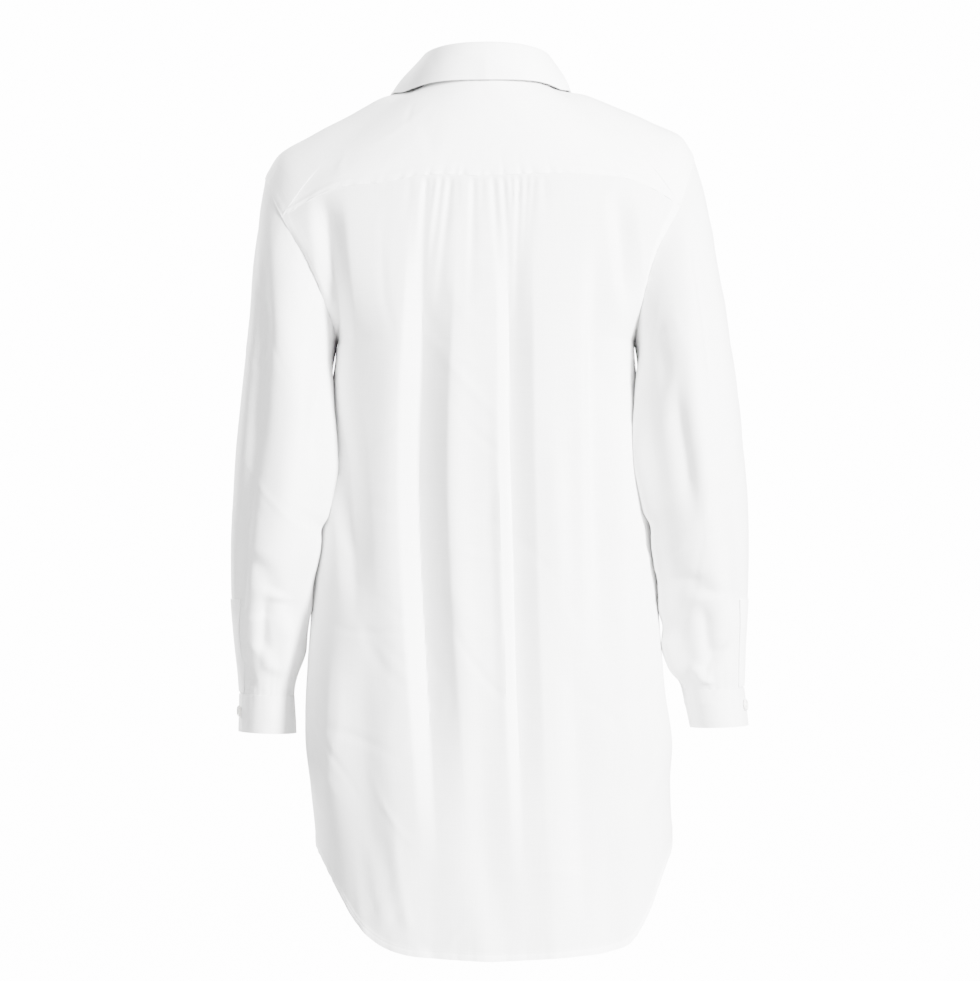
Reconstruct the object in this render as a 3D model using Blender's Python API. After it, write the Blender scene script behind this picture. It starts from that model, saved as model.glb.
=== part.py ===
"""A long white linen shirt, cut as a tunic, holding the shape it has when it is worn.

Every panel is a thin wall of cloth. A panel's outer face is worked out first, as a grid of
points between the seams it shares with its neighbours, then the inner face is set one cloth
thickness behind it. The front of the garment faces -Y, the back +Y, and the wearer's left is +X.
Z is measured from the neck point, so most sizes are given as a drop below it, in millimetres.
"""

import math

import bpy
import numpy as np

MM = 0.001

# Cloth and sewing
CLOTH = 1.4 * MM
SEAM_GAP = 0.3 * MM
LAYER_GAP = 0.4 * MM
MITRE_LIMIT = 0.3

# Neckline and collar
NECK_HALF_WIDTH = 64.0
NECK_HALF_DEPTH = 64.0
NECK_CENTRE_Y = -2.0
STAND_HEIGHT = 26.0
STAND_LEAN = 2.0
STAND_FOOT = 0.35
STAND_OVERLAP_ANGLE = 190.0
STAND_COLUMNS = 42
FALL_HALF_ANGLE = 176.0
FALL_COLUMNS = 34

# Yoke
YOKE_FRONT_NECK_ANGLE = 105.0
YOKE_BACK_NECK_ANGLE = 66.0
YOKE_BACK_ARM_ANGLE = 45
YOKE_FRONT_ARM_ANGLE = 330
YOKE_ROWS = (0.0, 0.13, 0.26, 0.39, 0.52, 0.64, 0.74, 0.83, 0.9, 0.96, 1.0)

# Body
ARM_STEP = 15
UNDERARM_DROP = 246.0
TRUNK_ROWS = 12
SETTLING = 1.7
ARMHOLE_REACH = 3
FRONT_NECK_ROWS = 5
FRONT_TAIL_SHARE = 0.75
GATHER_LEFT = 64.0
GATHER_RIGHT = -54.0
GATHER_PITCH = 4.2
SIDE_PITCH = 16.0
SEAM_SAMPLES = 401
JOIN_DIGITS = 6

# Front opening
PLACKET_HALF_WIDTH = 15.0
PLACKET_FREE_EDGE = 13.0
PLACKET_TOP_CUT = 0.7
FIRST_BUTTON_DROP = 92.0
BUTTON_PITCH = 84.0
FRONT_BUTTONS = 7
BUTTON_RADIUS = 5.6
BUTTON_THICKNESS = 2.4
BUTTON_SIDES = 12
ROUND_SEAT_RISE = 0.6

# Sleeves and cuffs
SLEEVE_RINGS = 21
LAST_RING = 15
CUFF_DEPTH = 38.0
CUFF_SPLIT_ANGLE = 8.0
CUFF_LAP_ANGLE = 34.0
CUFF_BUTTON_ANGLE = 24.0
CUFF_COLUMNS = 30
CUFF_ROWS = 3
CUFF_BUTTON_ROW = 0.45
SLEEVE_PLACKET_TOP = 9.6
SLEEVE_PLACKET_FOOT = 14.9
SLEEVE_PLACKET_HALF_ANGLE = 14.0
SLEEVE_PLACKET_ROWS = 6

LINEN_COLOUR = (0.86, 0.86, 0.86, 1.0)
BUTTON_COLOUR = (0.88, 0.87, 0.84, 1.0)
ROUGHNESS = 0.85
SHARP_ANGLE = 50.0

LEFT, RIGHT = 1, -1
BACK, FRONT = 1, -1


def table(columns, *rows):
    """A small table: one name for each column and one row for each section."""
    data = np.array(rows, float)
    return {name: data[:, i] for i, name in enumerate(columns.split())}


def follow(rows, key, value, *names):
    """A smooth curve through the rows of a table, read at one value of its key column."""
    xs = rows[key]
    ys = np.stack([rows[name] for name in names], axis=1)
    slopes = np.empty_like(ys)
    slopes[1:-1] = (ys[2:] - ys[:-2]) / (xs[2:] - xs[:-2])[:, None]
    slopes[0] = (ys[1] - ys[0]) / (xs[1] - xs[0])
    slopes[-1] = (ys[-1] - ys[-2]) / (xs[-1] - xs[-2])
    value = min(max(value, xs[0]), xs[-1])
    i = min(max(int(np.searchsorted(xs, value, side="right")) - 1, 0), len(xs) - 2)
    step = xs[i + 1] - xs[i]
    s = (value - xs[i]) / step
    near = (1 + 2 * s) * (1 - s) ** 2 * ys[i] + s * (1 - s) ** 2 * step * slopes[i]
    far = s * s * (3 - 2 * s) * ys[i + 1] + s * s * (s - 1) * step * slopes[i + 1]
    return near + far


def ease(x):
    """Rises smoothly from 0 to 1 while x goes from 0 to 1."""
    x = min(max(x, 0.0), 1.0)
    return x * x * (3 - 2 * x)


def point(x, y, drop):
    return np.array((x, y, -drop)) * MM


# The armhole seam, from the top of the shoulder (0) down the back (90) to the underarm (180)
# and up the front (270). The wearer's right shoulder is carried a little higher than the left.
ARMHOLE = {
    LEFT: table(
        "angle out y drop",
        (-45, 205, -52, 116),
        (0, 221, -4, 83),
        (45, 202, 52, 124),
        (90, 174, 68, 172),
        (135, 154, 52, 222),
        (180, 148, 0, 246),
        (225, 150, -52, 224),
        (270, 164, -73, 172),
        (315, 205, -52, 116),
        (360, 221, -4, 83),
        (405, 202, 52, 124),
    ),
    RIGHT: table(
        "angle out y drop",
        (-45, 194, -52, 100),
        (0, 208, -4, 62),
        (45, 192, 52, 112),
        (90, 167, 68, 162),
        (135, 152, 52, 218),
        (180, 147, 0, 246),
        (225, 149, -52, 220),
        (270, 162, -73, 162),
        (315, 194, -52, 100),
        (360, 208, -4, 62),
        (405, 192, 52, 112),
    ),
}

# The neckline drops from the centre back (0) to the centre front (180); it is level at both.
NECK_DROP = table(
    "angle drop", (-45, -13), (0, -16), (45, -13), (90, -2), (135, 24), (180, 43), (225, 24)
)

# The seam between yoke and back, from the right armhole (-1) to the left armhole (1).
YOKE_SEAM = table(
    "place x y drop",
    (-1, -192, 52, 112),
    (-0.75, -146, 71, 89),
    (-0.5, -95, 85.5, 83),
    (-0.25, -45, 91, 83),
    (0, 5, 92, 85),
    (0.25, 55, 90.5, 84),
    (0.5, 100, 84, 91),
    (0.75, 152, 70, 98),
    (1, 202, 52, 124),
)

# How far the yoke swells out of a straight line from neckline to seam, round the neck.
YOKE_SWELL = table(
    "angle swell shoulder", (0, 5, 0), (30, 6, 0.1), (66, 13, 0.6), (89, 22, 1), (105, 18, 1)
)
SHOULDER_CURVE = table(
    "place swell", (0, 0), (0.1, 0.28), (0.2, 0.58), (0.3, 0.75), (0.45, 0.89), (0.6, 1),
    (0.75, 1), (0.86, 0.86), (0.94, 0.54), (1, 0),
)

# The body's centre back, centre front and side seams.
CENTRE_BACK = table(
    "drop x y",
    (85, 5, 92), (120, 4.5, 101), (160, 4, 107), (200, 3.5, 110.5), (246, 3, 112), (300, 2, 111),
    (400, 0.5, 108), (466, -0.5, 108), (520, -1.5, 111), (595, -2.5, 117), (685, -4, 121),
    (870, -6, 124),
)
CENTRE_FRONT = table(
    "drop y",
    (38, -61), (44, -66), (70, -79), (110, -99), (160, -118), (210, -128), (246, -131),
    (300, -133), (400, -129), (466, -126), (520, -125), (870, -126),
)
SIDES = table(
    "drop left right roundness",
    (246, 148, 147, 2.9), (300, 155, 151.5, 2.5), (350, 159, 157, 2.45), (400, 163, 163, 2.4),
    (466, 171.5, 170.5, 2.35), (520, 175, 173, 2.3), (595, 180, 179, 2.3), (645, 180.5, 186, 2.3),
    (685, 176, 184, 2.3), (745, 170, 186, 2.3), (870, 166, 186, 2.3),
)

# The shirt tail of the back, by the angle round the body from centre back to side seam.
TAIL = table(
    "angle left right",
    (0, 855, 855), (20, 852, 852), (30, 849, 850), (40, 840, 847), (50, 821, 838), (60, 792, 808),
    (70, 767, 774), (80, 753, 755), (90, 745, 745),
)

# Fullness gathered into the yoke: each crease runs down from the seam and dies out.
GATHERS = table(
    "x length depth",
    (58, 105, 2.6), (47, 70, 1.9), (36, 95, 2.3), (24, 60, 1.3), (12, 115, 2.0), (0, 55, 1.2),
    (-10, 100, 2.1), (-21, 75, 2.2), (-31, 110, 2.4), (-40, 80, 2.0), (-49, 60, 1.6),
)
GATHER_HALF_WIDTH = 3.4
GATHER_START = 14.0
GATHER_FADE = 0.75

# Long soft folds of the back: a path through three places, then its half width and its height.
# Each fades in and out over a share of its length, and dies out before it meets a seam.
FOLD_FADE_IN = 0.3
FOLD_FADE_OUT = 0.35
SIDE_SEAM_MARGIN = 0.08
PLACKET_MARGIN = 0.12
FRONT_SIDE_MARGIN = 0.1
FOLD_COLUMNS = "top_x top_drop mid_x mid_drop low_x low_drop half_width height"
BACK_FOLDS = table(
    FOLD_COLUMNS,
    (49, 150, 56, 420, 26, 700, 15, -6.5),
    (-34, 150, -42, 400, -64, 740, 14, -6.5),
    (-8, 170, -18, 420, -29, 720, 12, 4.5),
    (-122, 150, -120, 320, -117, 520, 14, -4.5),
    (-98, 160, -101, 330, -100, 560, 11, 3.0),
    (84, 190, 92, 400, 78, 700, 16, 3.0),
    (146, 290, 138, 370, 122, 470, 10, -3.5),
    (168, 120, 160, 160, 150, 215, 8, -4.0),
    (112, 300, 120, 520, 104, 800, 15, -3.5),
    (-88, 560, -96, 680, -104, 830, 14, -3.5),
    (-140, 480, -146, 620, -150, 790, 13, 3.0),
)
FRONT_FOLDS = table(
    FOLD_COLUMNS,
    (62, 190, 70, 440, 66, 800, 16, -5.5),
    (104, 240, 116, 470, 112, 760, 15, 4.0),
    (40, 330, 42, 540, 36, 810, 11, 3.5),
    (134, 200, 126, 300, 120, 460, 12, -4.0),
    (96, 560, 92, 680, 86, 800, 13, -3.5),
)
FRONT_MIRROR_SHIFT = 7.0

# Each sleeve, ring by ring: its outer and inner line as seen from behind, and its depth.
SLEEVE_COLUMNS = "ring out out_drop in in_drop y half_depth"
SLEEVES = {
    LEFT: table(
        SLEEVE_COLUMNS,
        (0, 221, 83, 148, 246, -2, 74),
        (1, 226, 115, 150.5, 262, 6, 72),
        (2, 230, 150, 153, 277, 13, 70),
        (3, 233.5, 190, 155, 295, 20, 68),
        (4, 236, 232, 156.5, 317, 25, 66),
        (5, 240.5, 275, 157.5, 343, 28, 64),
        (6, 245, 318, 159.5, 373, 30, 61),
        (7, 249, 360, 162.5, 403, 30, 59),
        (8, 251.5, 402, 167, 434, 28, 57),
        (9, 254, 444, 173.4, 466, 23, 54),
        (10, 254.5, 480, 181, 494, 15, 51),
        (11, 254, 505, 185, 514, 8, 49),
        (12, 252.5, 528, 186, 534, 2, 47.5),
        (13, 250.5, 552, 187, 554, -4, 46.5),
        (14, 248, 576, 190, 577, -9, 45),
        (15, 246.5, 598, 192, 600, -12, 42.5),
    ),
    RIGHT: table(
        SLEEVE_COLUMNS,
        (0, 208, 62, 147, 246, -2, 74),
        (1, 217.5, 95, 149.5, 260, 6, 72),
        (2, 224, 130, 151, 273, 13, 70),
        (3, 231, 172, 152, 290, 20, 68),
        (4, 239, 218, 153, 311, 25, 66),
        (5, 246, 264, 154.6, 336, 28, 64),
        (6, 252, 310, 157.9, 366, 30, 61),
        (7, 256, 354, 162, 397, 30, 59),
        (8, 260, 400, 166.5, 430, 28, 57),
        (9, 261.5, 444, 173, 464, 23, 54),
        (10, 261.5, 480, 180, 492, 15, 51),
        (11, 261, 505, 183.5, 513, 8, 49),
        (12, 260, 528, 186, 534, 2, 47.5),
        (13, 259, 552, 188, 554, -4, 46.5),
        (14, 258.5, 576, 191, 577, -9, 45),
        (15, 258, 592, 196, 594, -12, 42.5),
    ),
}
ARMHOLE_SHARE = table("ring share", (0, 1), (1, 0.62), (2, 0.34), (3, 0.14), (4, 0.04), (5, 0))

# The cuff's outer and inner line, at its seam and at its free edge.
CUFFS = {
    LEFT: table("row out in y half_depth", (0, 246.5, 192, -12, 42.5), (1, 247.5, 190, -15, 43.5)),
    RIGHT: table("row out in y half_depth", (0, 258, 196, -12, 42.5), (1, 262.5, 205, -15, 43.5)),
}

# Folds of the sleeves: from ring to ring, from angle to angle round the arm.
SLEEVE_FOLD_COLUMNS = "ring_a ring_b angle_a angle_b half_width height"
SLEEVE_FOLDS = {
    LEFT: table(
        SLEEVE_FOLD_COLUMNS,
        (1.5, 7.5, 62, 78, 15, -4.0),
        (3.0, 9.5, 112, 104, 16, 3.5),
        (6.5, 12.5, 52, 60, 13, -3.5),
        (7.5, 9.2, 150, 250, 30, -4.0),
        (8.6, 10.4, 200, 290, 28, -4.0),
        (2.0, 7.0, 290, 280, 15, -4.0),
        (10.5, 14.2, 84, 88, 14, -3.5),
        (11.0, 14.4, 130, 124, 14, 3.5),
        (11.0, 14.4, 250, 258, 15, -3.5),
        (4.0, 12.8, 161, 158, 16, 8.0),
        (9.2, 14.8, 168, 170, 22, 8.0),
    ),
    RIGHT: table(
        SLEEVE_FOLD_COLUMNS,
        (0.8, 5.4, 50, 66, 12, -4.5),
        (4.4, 7.4, 104, 108, 13, -4.0),
        (3.0, 9.0, 84, 88, 14, 3.0),
        (7.6, 12.0, 58, 54, 13, -3.5),
        (7.5, 9.4, 150, 250, 30, -4.0),
        (8.8, 10.6, 200, 290, 28, -4.0),
        (2.0, 7.5, 286, 278, 15, -4.0),
        (10.8, 14.2, 96, 92, 14, -3.5),
        (11.6, 14.6, 160, 150, 18, 5.0),
        (11.0, 14.4, 250, 256, 15, -3.5),
        (4.2, 12.8, 161, 158, 16, 8.0),
        (9.2, 14.8, 168, 170, 22, 8.0),
    ),
}

# The collar's outer edge, from centre back to the collar point.
COLLAR_EDGE = {
    LEFT: table(
        "angle x y drop",
        (0, 0, 73, -11.5),
        (30, 37, 66, -11),
        (50, 62, 50, -7.5),
        (70, 84, 24, -3),
        (90, 98, -6, -1),
        (120, 92, -56, 30),
        (150, 66, -84, 56),
        (176, 37, -94, 77),
    ),
    RIGHT: table(
        "angle x y drop",
        (0, 0, 73, -11.5),
        (30, 36, 66, -11.5),
        (50, 58, 50, -9),
        (70, 77, 24, -6),
        (90, 88, -6, -4),
        (120, 84, -54, 28),
        (150, 63, -82, 55),
        (176, 37, -92, 77),
    ),
}

# The fold of the collar over its stand: steps out from the stand's inner face, and up.
COLLAR_FOLD = table(
    "step out up", (0, 0, 0.45), (1, 0, 3.5), (2, 1.0, 5.6), (3, 3.2, 6.4), (4, 5.6, 4.4)
)
COLLAR_FALL_STEPS = (0.25, 0.5, 0.75, 1.0)
COLLAR_SPREAD = 2.5


def armhole(side, angle):
    out, y, drop = follow(ARMHOLE[side], "angle", angle % 360, "out", "y", "drop")
    return point(side * out, y, drop)


def neckline(angle):
    """A point of the neck seam; the angle is 0 at the centre back and grows to the left."""
    turn = math.radians(angle)
    drop = follow(NECK_DROP, "angle", abs(angle), "drop")[0]
    x = NECK_HALF_WIDTH * math.sin(turn)
    y = NECK_CENTRE_Y + NECK_HALF_DEPTH * math.cos(turn)
    return point(x, y, drop)


def yoke_seam(place):
    x, y, drop = follow(YOKE_SEAM, "place", place, "x", "y", "drop")
    return point(x, y, drop)


def trunk(place, drop, face):
    """The body below the armholes, from the right side seam (-1) to the left side seam (1)."""
    left, right, power = follow(SIDES, "drop", drop, "left", "right", "roundness")
    if face == BACK:
        centre, depth = follow(CENTRE_BACK, "drop", drop, "x", "y")
    else:
        centre, depth = 0.0, follow(CENTRE_FRONT, "drop", drop, "y")[0]
    edge = left if place > 0 else -right
    reach = math.sin(abs(place) * math.pi / 2)
    return point(centre + (edge - centre) * reach, depth * flattened(reach, power), drop)


def flattened(reach, power):
    """Depth of the body's rounded section at a share of its half width."""
    return max(1 - reach ** power, 0.0) ** (1 / power)


def tail_drop(place, face):
    """How far the hem lies below the neck point."""
    angle = abs(place) * 90
    side = follow(TAIL, "angle", 90, "left")[0]
    drop = follow(TAIL, "angle", angle, "left" if place > 0 else "right")[0]
    share = 1.0 if face == BACK else FRONT_TAIL_SHARE
    return side + (drop - side) * share


def patch(top, bottom, inner, outer, corners, down, across):
    """A sheet stretched between four edges, which turns smoothly upright at its foot.

    The bend of the armhole, its outer edge, fades out quickly towards the middle.
    """
    (a, b), (c, d) = corners
    settled = 1 - (1 - down) ** SETTLING
    down = np.array((settled, settled, down))
    inner_bend = inner - (1 - down) * a - down * c
    outer_bend = outer - (1 - down) * b - down * d
    sheet = (1 - down) * top + down * bottom
    return sheet + (1 - ease(across)) * inner_bend + across ** ARMHOLE_REACH * outer_bend


def back_columns():
    """Places across the back: close together under the gathers, wide apart beside them."""
    places = np.linspace(-1, 1, SEAM_SAMPLES)
    xs = np.array([yoke_seam(p)[0] for p in places]) / MM
    gathered = round((GATHER_LEFT - GATHER_RIGHT) / GATHER_PITCH)
    left = round((xs[-1] - GATHER_LEFT) / SIDE_PITCH)
    right = round((GATHER_RIGHT - xs[0]) / SIDE_PITCH)
    stops = np.concatenate((
        np.linspace(xs[0], GATHER_RIGHT, right, endpoint=False),
        np.linspace(GATHER_RIGHT, GATHER_LEFT, gathered, endpoint=False),
        np.linspace(GATHER_LEFT, xs[-1], left + 1),
    ))
    return np.interp(stops, xs, places)


def grid_normals(grid):
    """Normals of a grid of points, by its rows and columns."""
    down = np.gradient(grid, axis=0)
    across = np.gradient(grid, axis=1)
    normals = np.cross(across, down)
    return normals / np.linalg.norm(normals, axis=2, keepdims=True)


def ring_normals(grid):
    """Normals of a grid whose columns close into rings."""
    looped = np.concatenate((grid[:, -1:], grid, grid[:, :1]), axis=1)
    return grid_normals(looped)[:, 1:-1]


def fold_height(folds, x, drop):
    """Sum of the long folds at one place, in millimetres."""
    height = 0.0
    for i in range(len(folds["height"])):
        top, middle, low = folds["top_drop"][i], folds["mid_drop"][i], folds["low_drop"][i]
        if not top < drop < low:
            continue
        path = {"drop": np.array((top, middle, low))}
        path["x"] = np.array((folds["top_x"][i], folds["mid_x"][i], folds["low_x"][i]))
        away = (x - follow(path, "drop", drop, "x")[0]) / folds["half_width"][i]
        along = (drop - top) / (low - top)
        fade = ease(along / FOLD_FADE_IN) * ease((1 - along) / FOLD_FADE_OUT)
        height += folds["height"][i] * fade * math.exp(-away * away)
    return height


def gather_height(place, x, drop):
    """Sum of the creases that run down from the yoke seam, in millimetres."""
    seam = -yoke_seam(place)[2] / MM
    below = drop - seam
    height = 0.0
    for i in range(len(GATHERS["x"])):
        length = GATHERS["length"][i]
        if not 0 < below < length:
            continue
        fade = ease(below / GATHER_START) * ease((length - below) / (GATHER_FADE * length))
        away = (x - GATHERS["x"][i]) / GATHER_HALF_WIDTH
        height -= GATHERS["depth"][i] * fade * math.exp(-away * away)
    return height


def back_panel():
    """The back, from the yoke seam over the armholes down to the shirt tail."""
    places = back_columns()
    arm_rows = (180 - YOKE_BACK_ARM_ANGLE) // ARM_STEP
    grid = []
    for i in range(arm_rows + 1):
        down = i / arm_rows
        row = []
        seam_drop = -yoke_seam(0)[2] / MM
        drop = seam_drop + (UNDERARM_DROP - seam_drop) * down
        for place in places:
            side = LEFT if place > 0 else RIGHT
            across = abs(place)
            inner = trunk(0, drop, BACK)
            outer = armhole(side, YOKE_BACK_ARM_ANGLE + ARM_STEP * i)
            top, bottom = yoke_seam(place), trunk(place, UNDERARM_DROP, BACK)
            corners = (
                (yoke_seam(0), yoke_seam(side)),
                (trunk(0, UNDERARM_DROP, BACK), trunk(side, UNDERARM_DROP, BACK)),
            )
            row.append(patch(top, bottom, inner, outer, corners, down, across))
        grid.append(row)
    for i in range(1, TRUNK_ROWS + 1):
        down = i / TRUNK_ROWS
        drops = [UNDERARM_DROP + (tail_drop(p, BACK) - UNDERARM_DROP) * down for p in places]
        grid.append([trunk(p, drop, BACK) for p, drop in zip(places, drops)])
    grid = np.array(grid)
    normals = grid_normals(grid)
    for row in range(1, len(grid)):
        for column, place in enumerate(places):
            x, drop = grid[row, column, 0] / MM, -grid[row, column, 2] / MM
            height = fold_height(BACK_FOLDS, x, drop) + gather_height(place, x, drop)
            height *= ease((1 - abs(place)) / SIDE_SEAM_MARGIN)
            grid[row, column] += normals[row, column] * height * MM
    return grid


def yoke_outer_edge():
    """The yoke's outer edge as pairs of neck angle and point, from left front to right front."""
    edge = []
    span = 360 - YOKE_FRONT_ARM_ANGLE + YOKE_BACK_ARM_ANGLE
    for step in range(0, span, ARM_STEP):
        share = step / span
        angle = YOKE_FRONT_NECK_ANGLE + (YOKE_BACK_NECK_ANGLE - YOKE_FRONT_NECK_ANGLE) * share
        edge.append((angle, armhole(LEFT, YOKE_FRONT_ARM_ANGLE + step)))
    for place in back_columns()[::-1]:
        edge.append((YOKE_BACK_NECK_ANGLE * place, yoke_seam(place)))
    for step in range(ARM_STEP, span + 1, ARM_STEP):
        share = 1 - step / span
        angle = YOKE_FRONT_NECK_ANGLE + (YOKE_BACK_NECK_ANGLE - YOKE_FRONT_NECK_ANGLE) * share
        edge.append((-angle, armhole(RIGHT, YOKE_BACK_ARM_ANGLE - step)))
    return edge


def yoke_panel():
    """The yoke: round the neck on its inner edge, armholes and back seam on its outer edge."""
    edge = yoke_outer_edge()
    grid = np.array([
        [neckline(angle) * (1 - row) + outer * row for angle, outer in edge] for row in YOKE_ROWS
    ])
    normals = grid_normals(grid)
    for i, row in enumerate(YOKE_ROWS):
        rounded = math.sin(math.pi * row)
        shoulder_curve = follow(SHOULDER_CURVE, "place", row, "swell")[0]
        for j, (angle, _) in enumerate(edge):
            swell, shoulder = follow(YOKE_SWELL, "angle", abs(angle), "swell", "shoulder")
            height = swell * (shoulder * shoulder_curve + (1 - shoulder) * rounded)
            grid[i, j] -= normals[i, j] * height * MM
    return grid[:, ::-1]


def placket_place(drop):
    """The place across the front where the placket seam lies."""
    left = follow(SIDES, "drop", max(drop, UNDERARM_DROP), "left")[0]
    return math.asin(PLACKET_HALF_WIDTH / left) / (math.pi / 2)


def front_strip(x, drop):
    """The middle of the front, where the two plackets lie."""
    half, power = follow(SIDES, "drop", max(drop, UNDERARM_DROP), "left", "roundness")
    depth = follow(CENTRE_FRONT, "drop", drop, "y")[0]
    return point(x, depth * flattened(abs(x) / half, power), drop)


def placket_neck_drop():
    angle = 180 - math.degrees(math.asin(PLACKET_HALF_WIDTH / NECK_HALF_WIDTH))
    return follow(NECK_DROP, "angle", angle, "drop")[0]


def front_panel(side, yoke):
    """One front, from the yoke over the armhole and the neckline down to the shirt tail."""
    seam = yoke[:, -1] if side == LEFT else yoke[:, 0]
    columns = len(seam)
    shares = np.linspace(0, 1, columns)
    arm_rows = (YOKE_FRONT_ARM_ANGLE - 180) // ARM_STEP
    last_angle = 180 - math.degrees(math.asin(PLACKET_HALF_WIDTH / NECK_HALF_WIDTH))
    inner_line = []
    for i in range(arm_rows + 1):
        if i <= FRONT_NECK_ROWS:
            share = i / FRONT_NECK_ROWS
            angle = YOKE_FRONT_NECK_ANGLE + (last_angle - YOKE_FRONT_NECK_ANGLE) * share
            inner_line.append(neckline(side * angle))
        else:
            share = (i - FRONT_NECK_ROWS) / (arm_rows - FRONT_NECK_ROWS)
            drop = placket_neck_drop() + (UNDERARM_DROP - placket_neck_drop()) * share
            inner_line.append(front_strip(side * PLACKET_HALF_WIDTH, drop))
    start = placket_place(UNDERARM_DROP)
    places = [start + (1 - start) * share for share in shares]
    chest = [trunk(side * place, UNDERARM_DROP, FRONT) for place in places]
    chest[0] = front_strip(side * PLACKET_HALF_WIDTH, UNDERARM_DROP)
    grid = []
    for i in range(arm_rows + 1):
        down = i / arm_rows
        outer = armhole(side, YOKE_FRONT_ARM_ANGLE - ARM_STEP * i)
        corners = ((seam[0], seam[-1]), (chest[0], chest[-1]))
        grid.append([
            patch(seam[j], chest[j], inner_line[i], outer, corners, down, shares[j])
            for j in range(columns)
        ])
    for i in range(1, TRUNK_ROWS + 1):
        row = []
        for j, share in enumerate(shares):
            tail = tail_drop(side * (start + (1 - start) * share), FRONT)
            drop = UNDERARM_DROP + (tail - UNDERARM_DROP) * i / TRUNK_ROWS
            first = placket_place(drop)
            place = side * (first + (1 - first) * share)
            if j == 0:
                row.append(front_strip(side * PLACKET_HALF_WIDTH, drop))
            else:
                row.append(trunk(place, drop, FRONT))
        grid.append(row)
    grid = np.array(grid)
    outward = grid_normals(grid) * -side
    for row in range(1, len(grid)):
        for column, share in enumerate(shares):
            x, drop = abs(grid[row, column, 0]) / MM, -grid[row, column, 2] / MM
            x += FRONT_MIRROR_SHIFT if side == RIGHT else 0.0
            height = fold_height(FRONT_FOLDS, x, drop)
            height *= ease(share / PLACKET_MARGIN) * ease((1 - share) / FRONT_SIDE_MARGIN)
            grid[row, column] += outward[row, column] * height * MM
    return grid if side == LEFT else grid[:, ::-1]


def sleeve_ring(side, ring, angle):
    """A point of the sleeve's outer face, without its folds."""
    names = SLEEVE_COLUMNS.split()[1:]
    out, out_drop, inside, in_drop, y, half_depth = follow(SLEEVES[side], "ring", ring, *names)
    turn = math.radians(angle)
    outer, inner = point(side * out, y, out_drop), point(side * inside, y, in_drop)
    middle, reach = (outer + inner) / 2, (outer - inner) / 2
    spot = middle + math.cos(turn) * reach
    spot[1] += math.sin(turn) * half_depth * MM
    return spot


def sleeve_point(side, ring, angle):
    """The sleeve leaves the armhole seam and turns into rounded rings further down."""
    share = follow(ARMHOLE_SHARE, "ring", ring, "share")[0]
    spot = sleeve_ring(side, ring, angle)
    if share > 0:
        spot = spot + (armhole(side, angle) - sleeve_ring(side, 0, angle)) * share
    return spot


def sleeve_fold_height(side, ring, angle):
    folds = SLEEVE_FOLDS[side]
    height = 0.0
    for i in range(len(folds["height"])):
        first, last = folds["ring_a"][i], folds["ring_b"][i]
        if not first < ring < last:
            continue
        along = (ring - first) / (last - first)
        centre = folds["angle_a"][i] + (folds["angle_b"][i] - folds["angle_a"][i]) * along
        away = ((angle - centre + 180) % 360 - 180) / folds["half_width"][i]
        fade = ease(along / FOLD_FADE_OUT) * ease((1 - along) / FOLD_FADE_OUT)
        height += folds["height"][i] * fade * math.exp(-away * away)
    return height


def sleeve_panel(side):
    """A tube from the armhole seam down to the cuff seam."""
    rings = np.linspace(0, LAST_RING, SLEEVE_RINGS)
    angles = range(0, 360, ARM_STEP)
    grid = np.array([[sleeve_point(side, ring, angle) for angle in angles] for ring in rings])
    normals = ring_normals(grid) * side
    for i, ring in enumerate(rings):
        for j, angle in enumerate(angles):
            height = sleeve_fold_height(side, ring, angle)
            grid[i, j] -= normals[i, j] * height * MM
    return grid


def cuff_point(side, row, angle, proud):
    """The cuff is a strip wound once round the wrist, its ends lapped over each other."""
    out, inside, y, half_depth = follow(CUFFS[side], "row", row, "out", "in", "y", "half_depth")
    last = SLEEVES[side]
    outer_drop = last["out_drop"][-1] + row * CUFF_DEPTH
    inner_drop = last["in_drop"][-1] + row * CUFF_DEPTH
    turn = math.radians(angle)
    outer, inner = point(side * out, y, outer_drop), point(side * inside, y, inner_drop)
    spot = (outer + inner) / 2 + math.cos(turn) * (outer - inner) / 2
    spot[1] += math.sin(turn) * half_depth * MM
    away = spot - (outer + inner) / 2
    away[2] = 0
    return spot + away / np.linalg.norm(away) * proud * MM


def lap_step(share):
    """How far a wound strip stands off its middle line, so that its lapped ends clear."""
    return 1.0 - 2.0 * share


def cuff_panel(side):
    angles = np.linspace(CUFF_SPLIT_ANGLE, CUFF_SPLIT_ANGLE + 360 + CUFF_LAP_ANGLE, CUFF_COLUMNS)
    shares = np.linspace(0, 1, CUFF_COLUMNS)
    rows = np.linspace(0, 1, CUFF_ROWS)
    return np.array([
        [cuff_point(side, row, a, lap_step(s)) for a, s in zip(angles, shares)] for row in rows
    ])


def stand_point(angle, up, proud):
    """The collar stand, a strip that stands on the neckline and laps at the centre front."""
    folded = angle - 360 * round(angle / 360)
    base = neckline(folded)
    turn = math.radians(folded)
    lean = proud - STAND_LEAN * up / STAND_HEIGHT
    outward = np.array((math.sin(turn), math.cos(turn), 0.0))
    return base + outward * lean * MM + np.array((0, 0, up * MM))


def stand_panel():
    angles = np.linspace(-STAND_OVERLAP_ANGLE, STAND_OVERLAP_ANGLE, STAND_COLUMNS)
    shares = np.linspace(0, 1, STAND_COLUMNS)
    ups = (STAND_HEIGHT, STAND_HEIGHT / 2, STAND_FOOT)
    return np.array([
        [stand_point(a, up, lap_step(s)) for a, s in zip(angles, shares)] for up in ups
    ])


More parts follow.
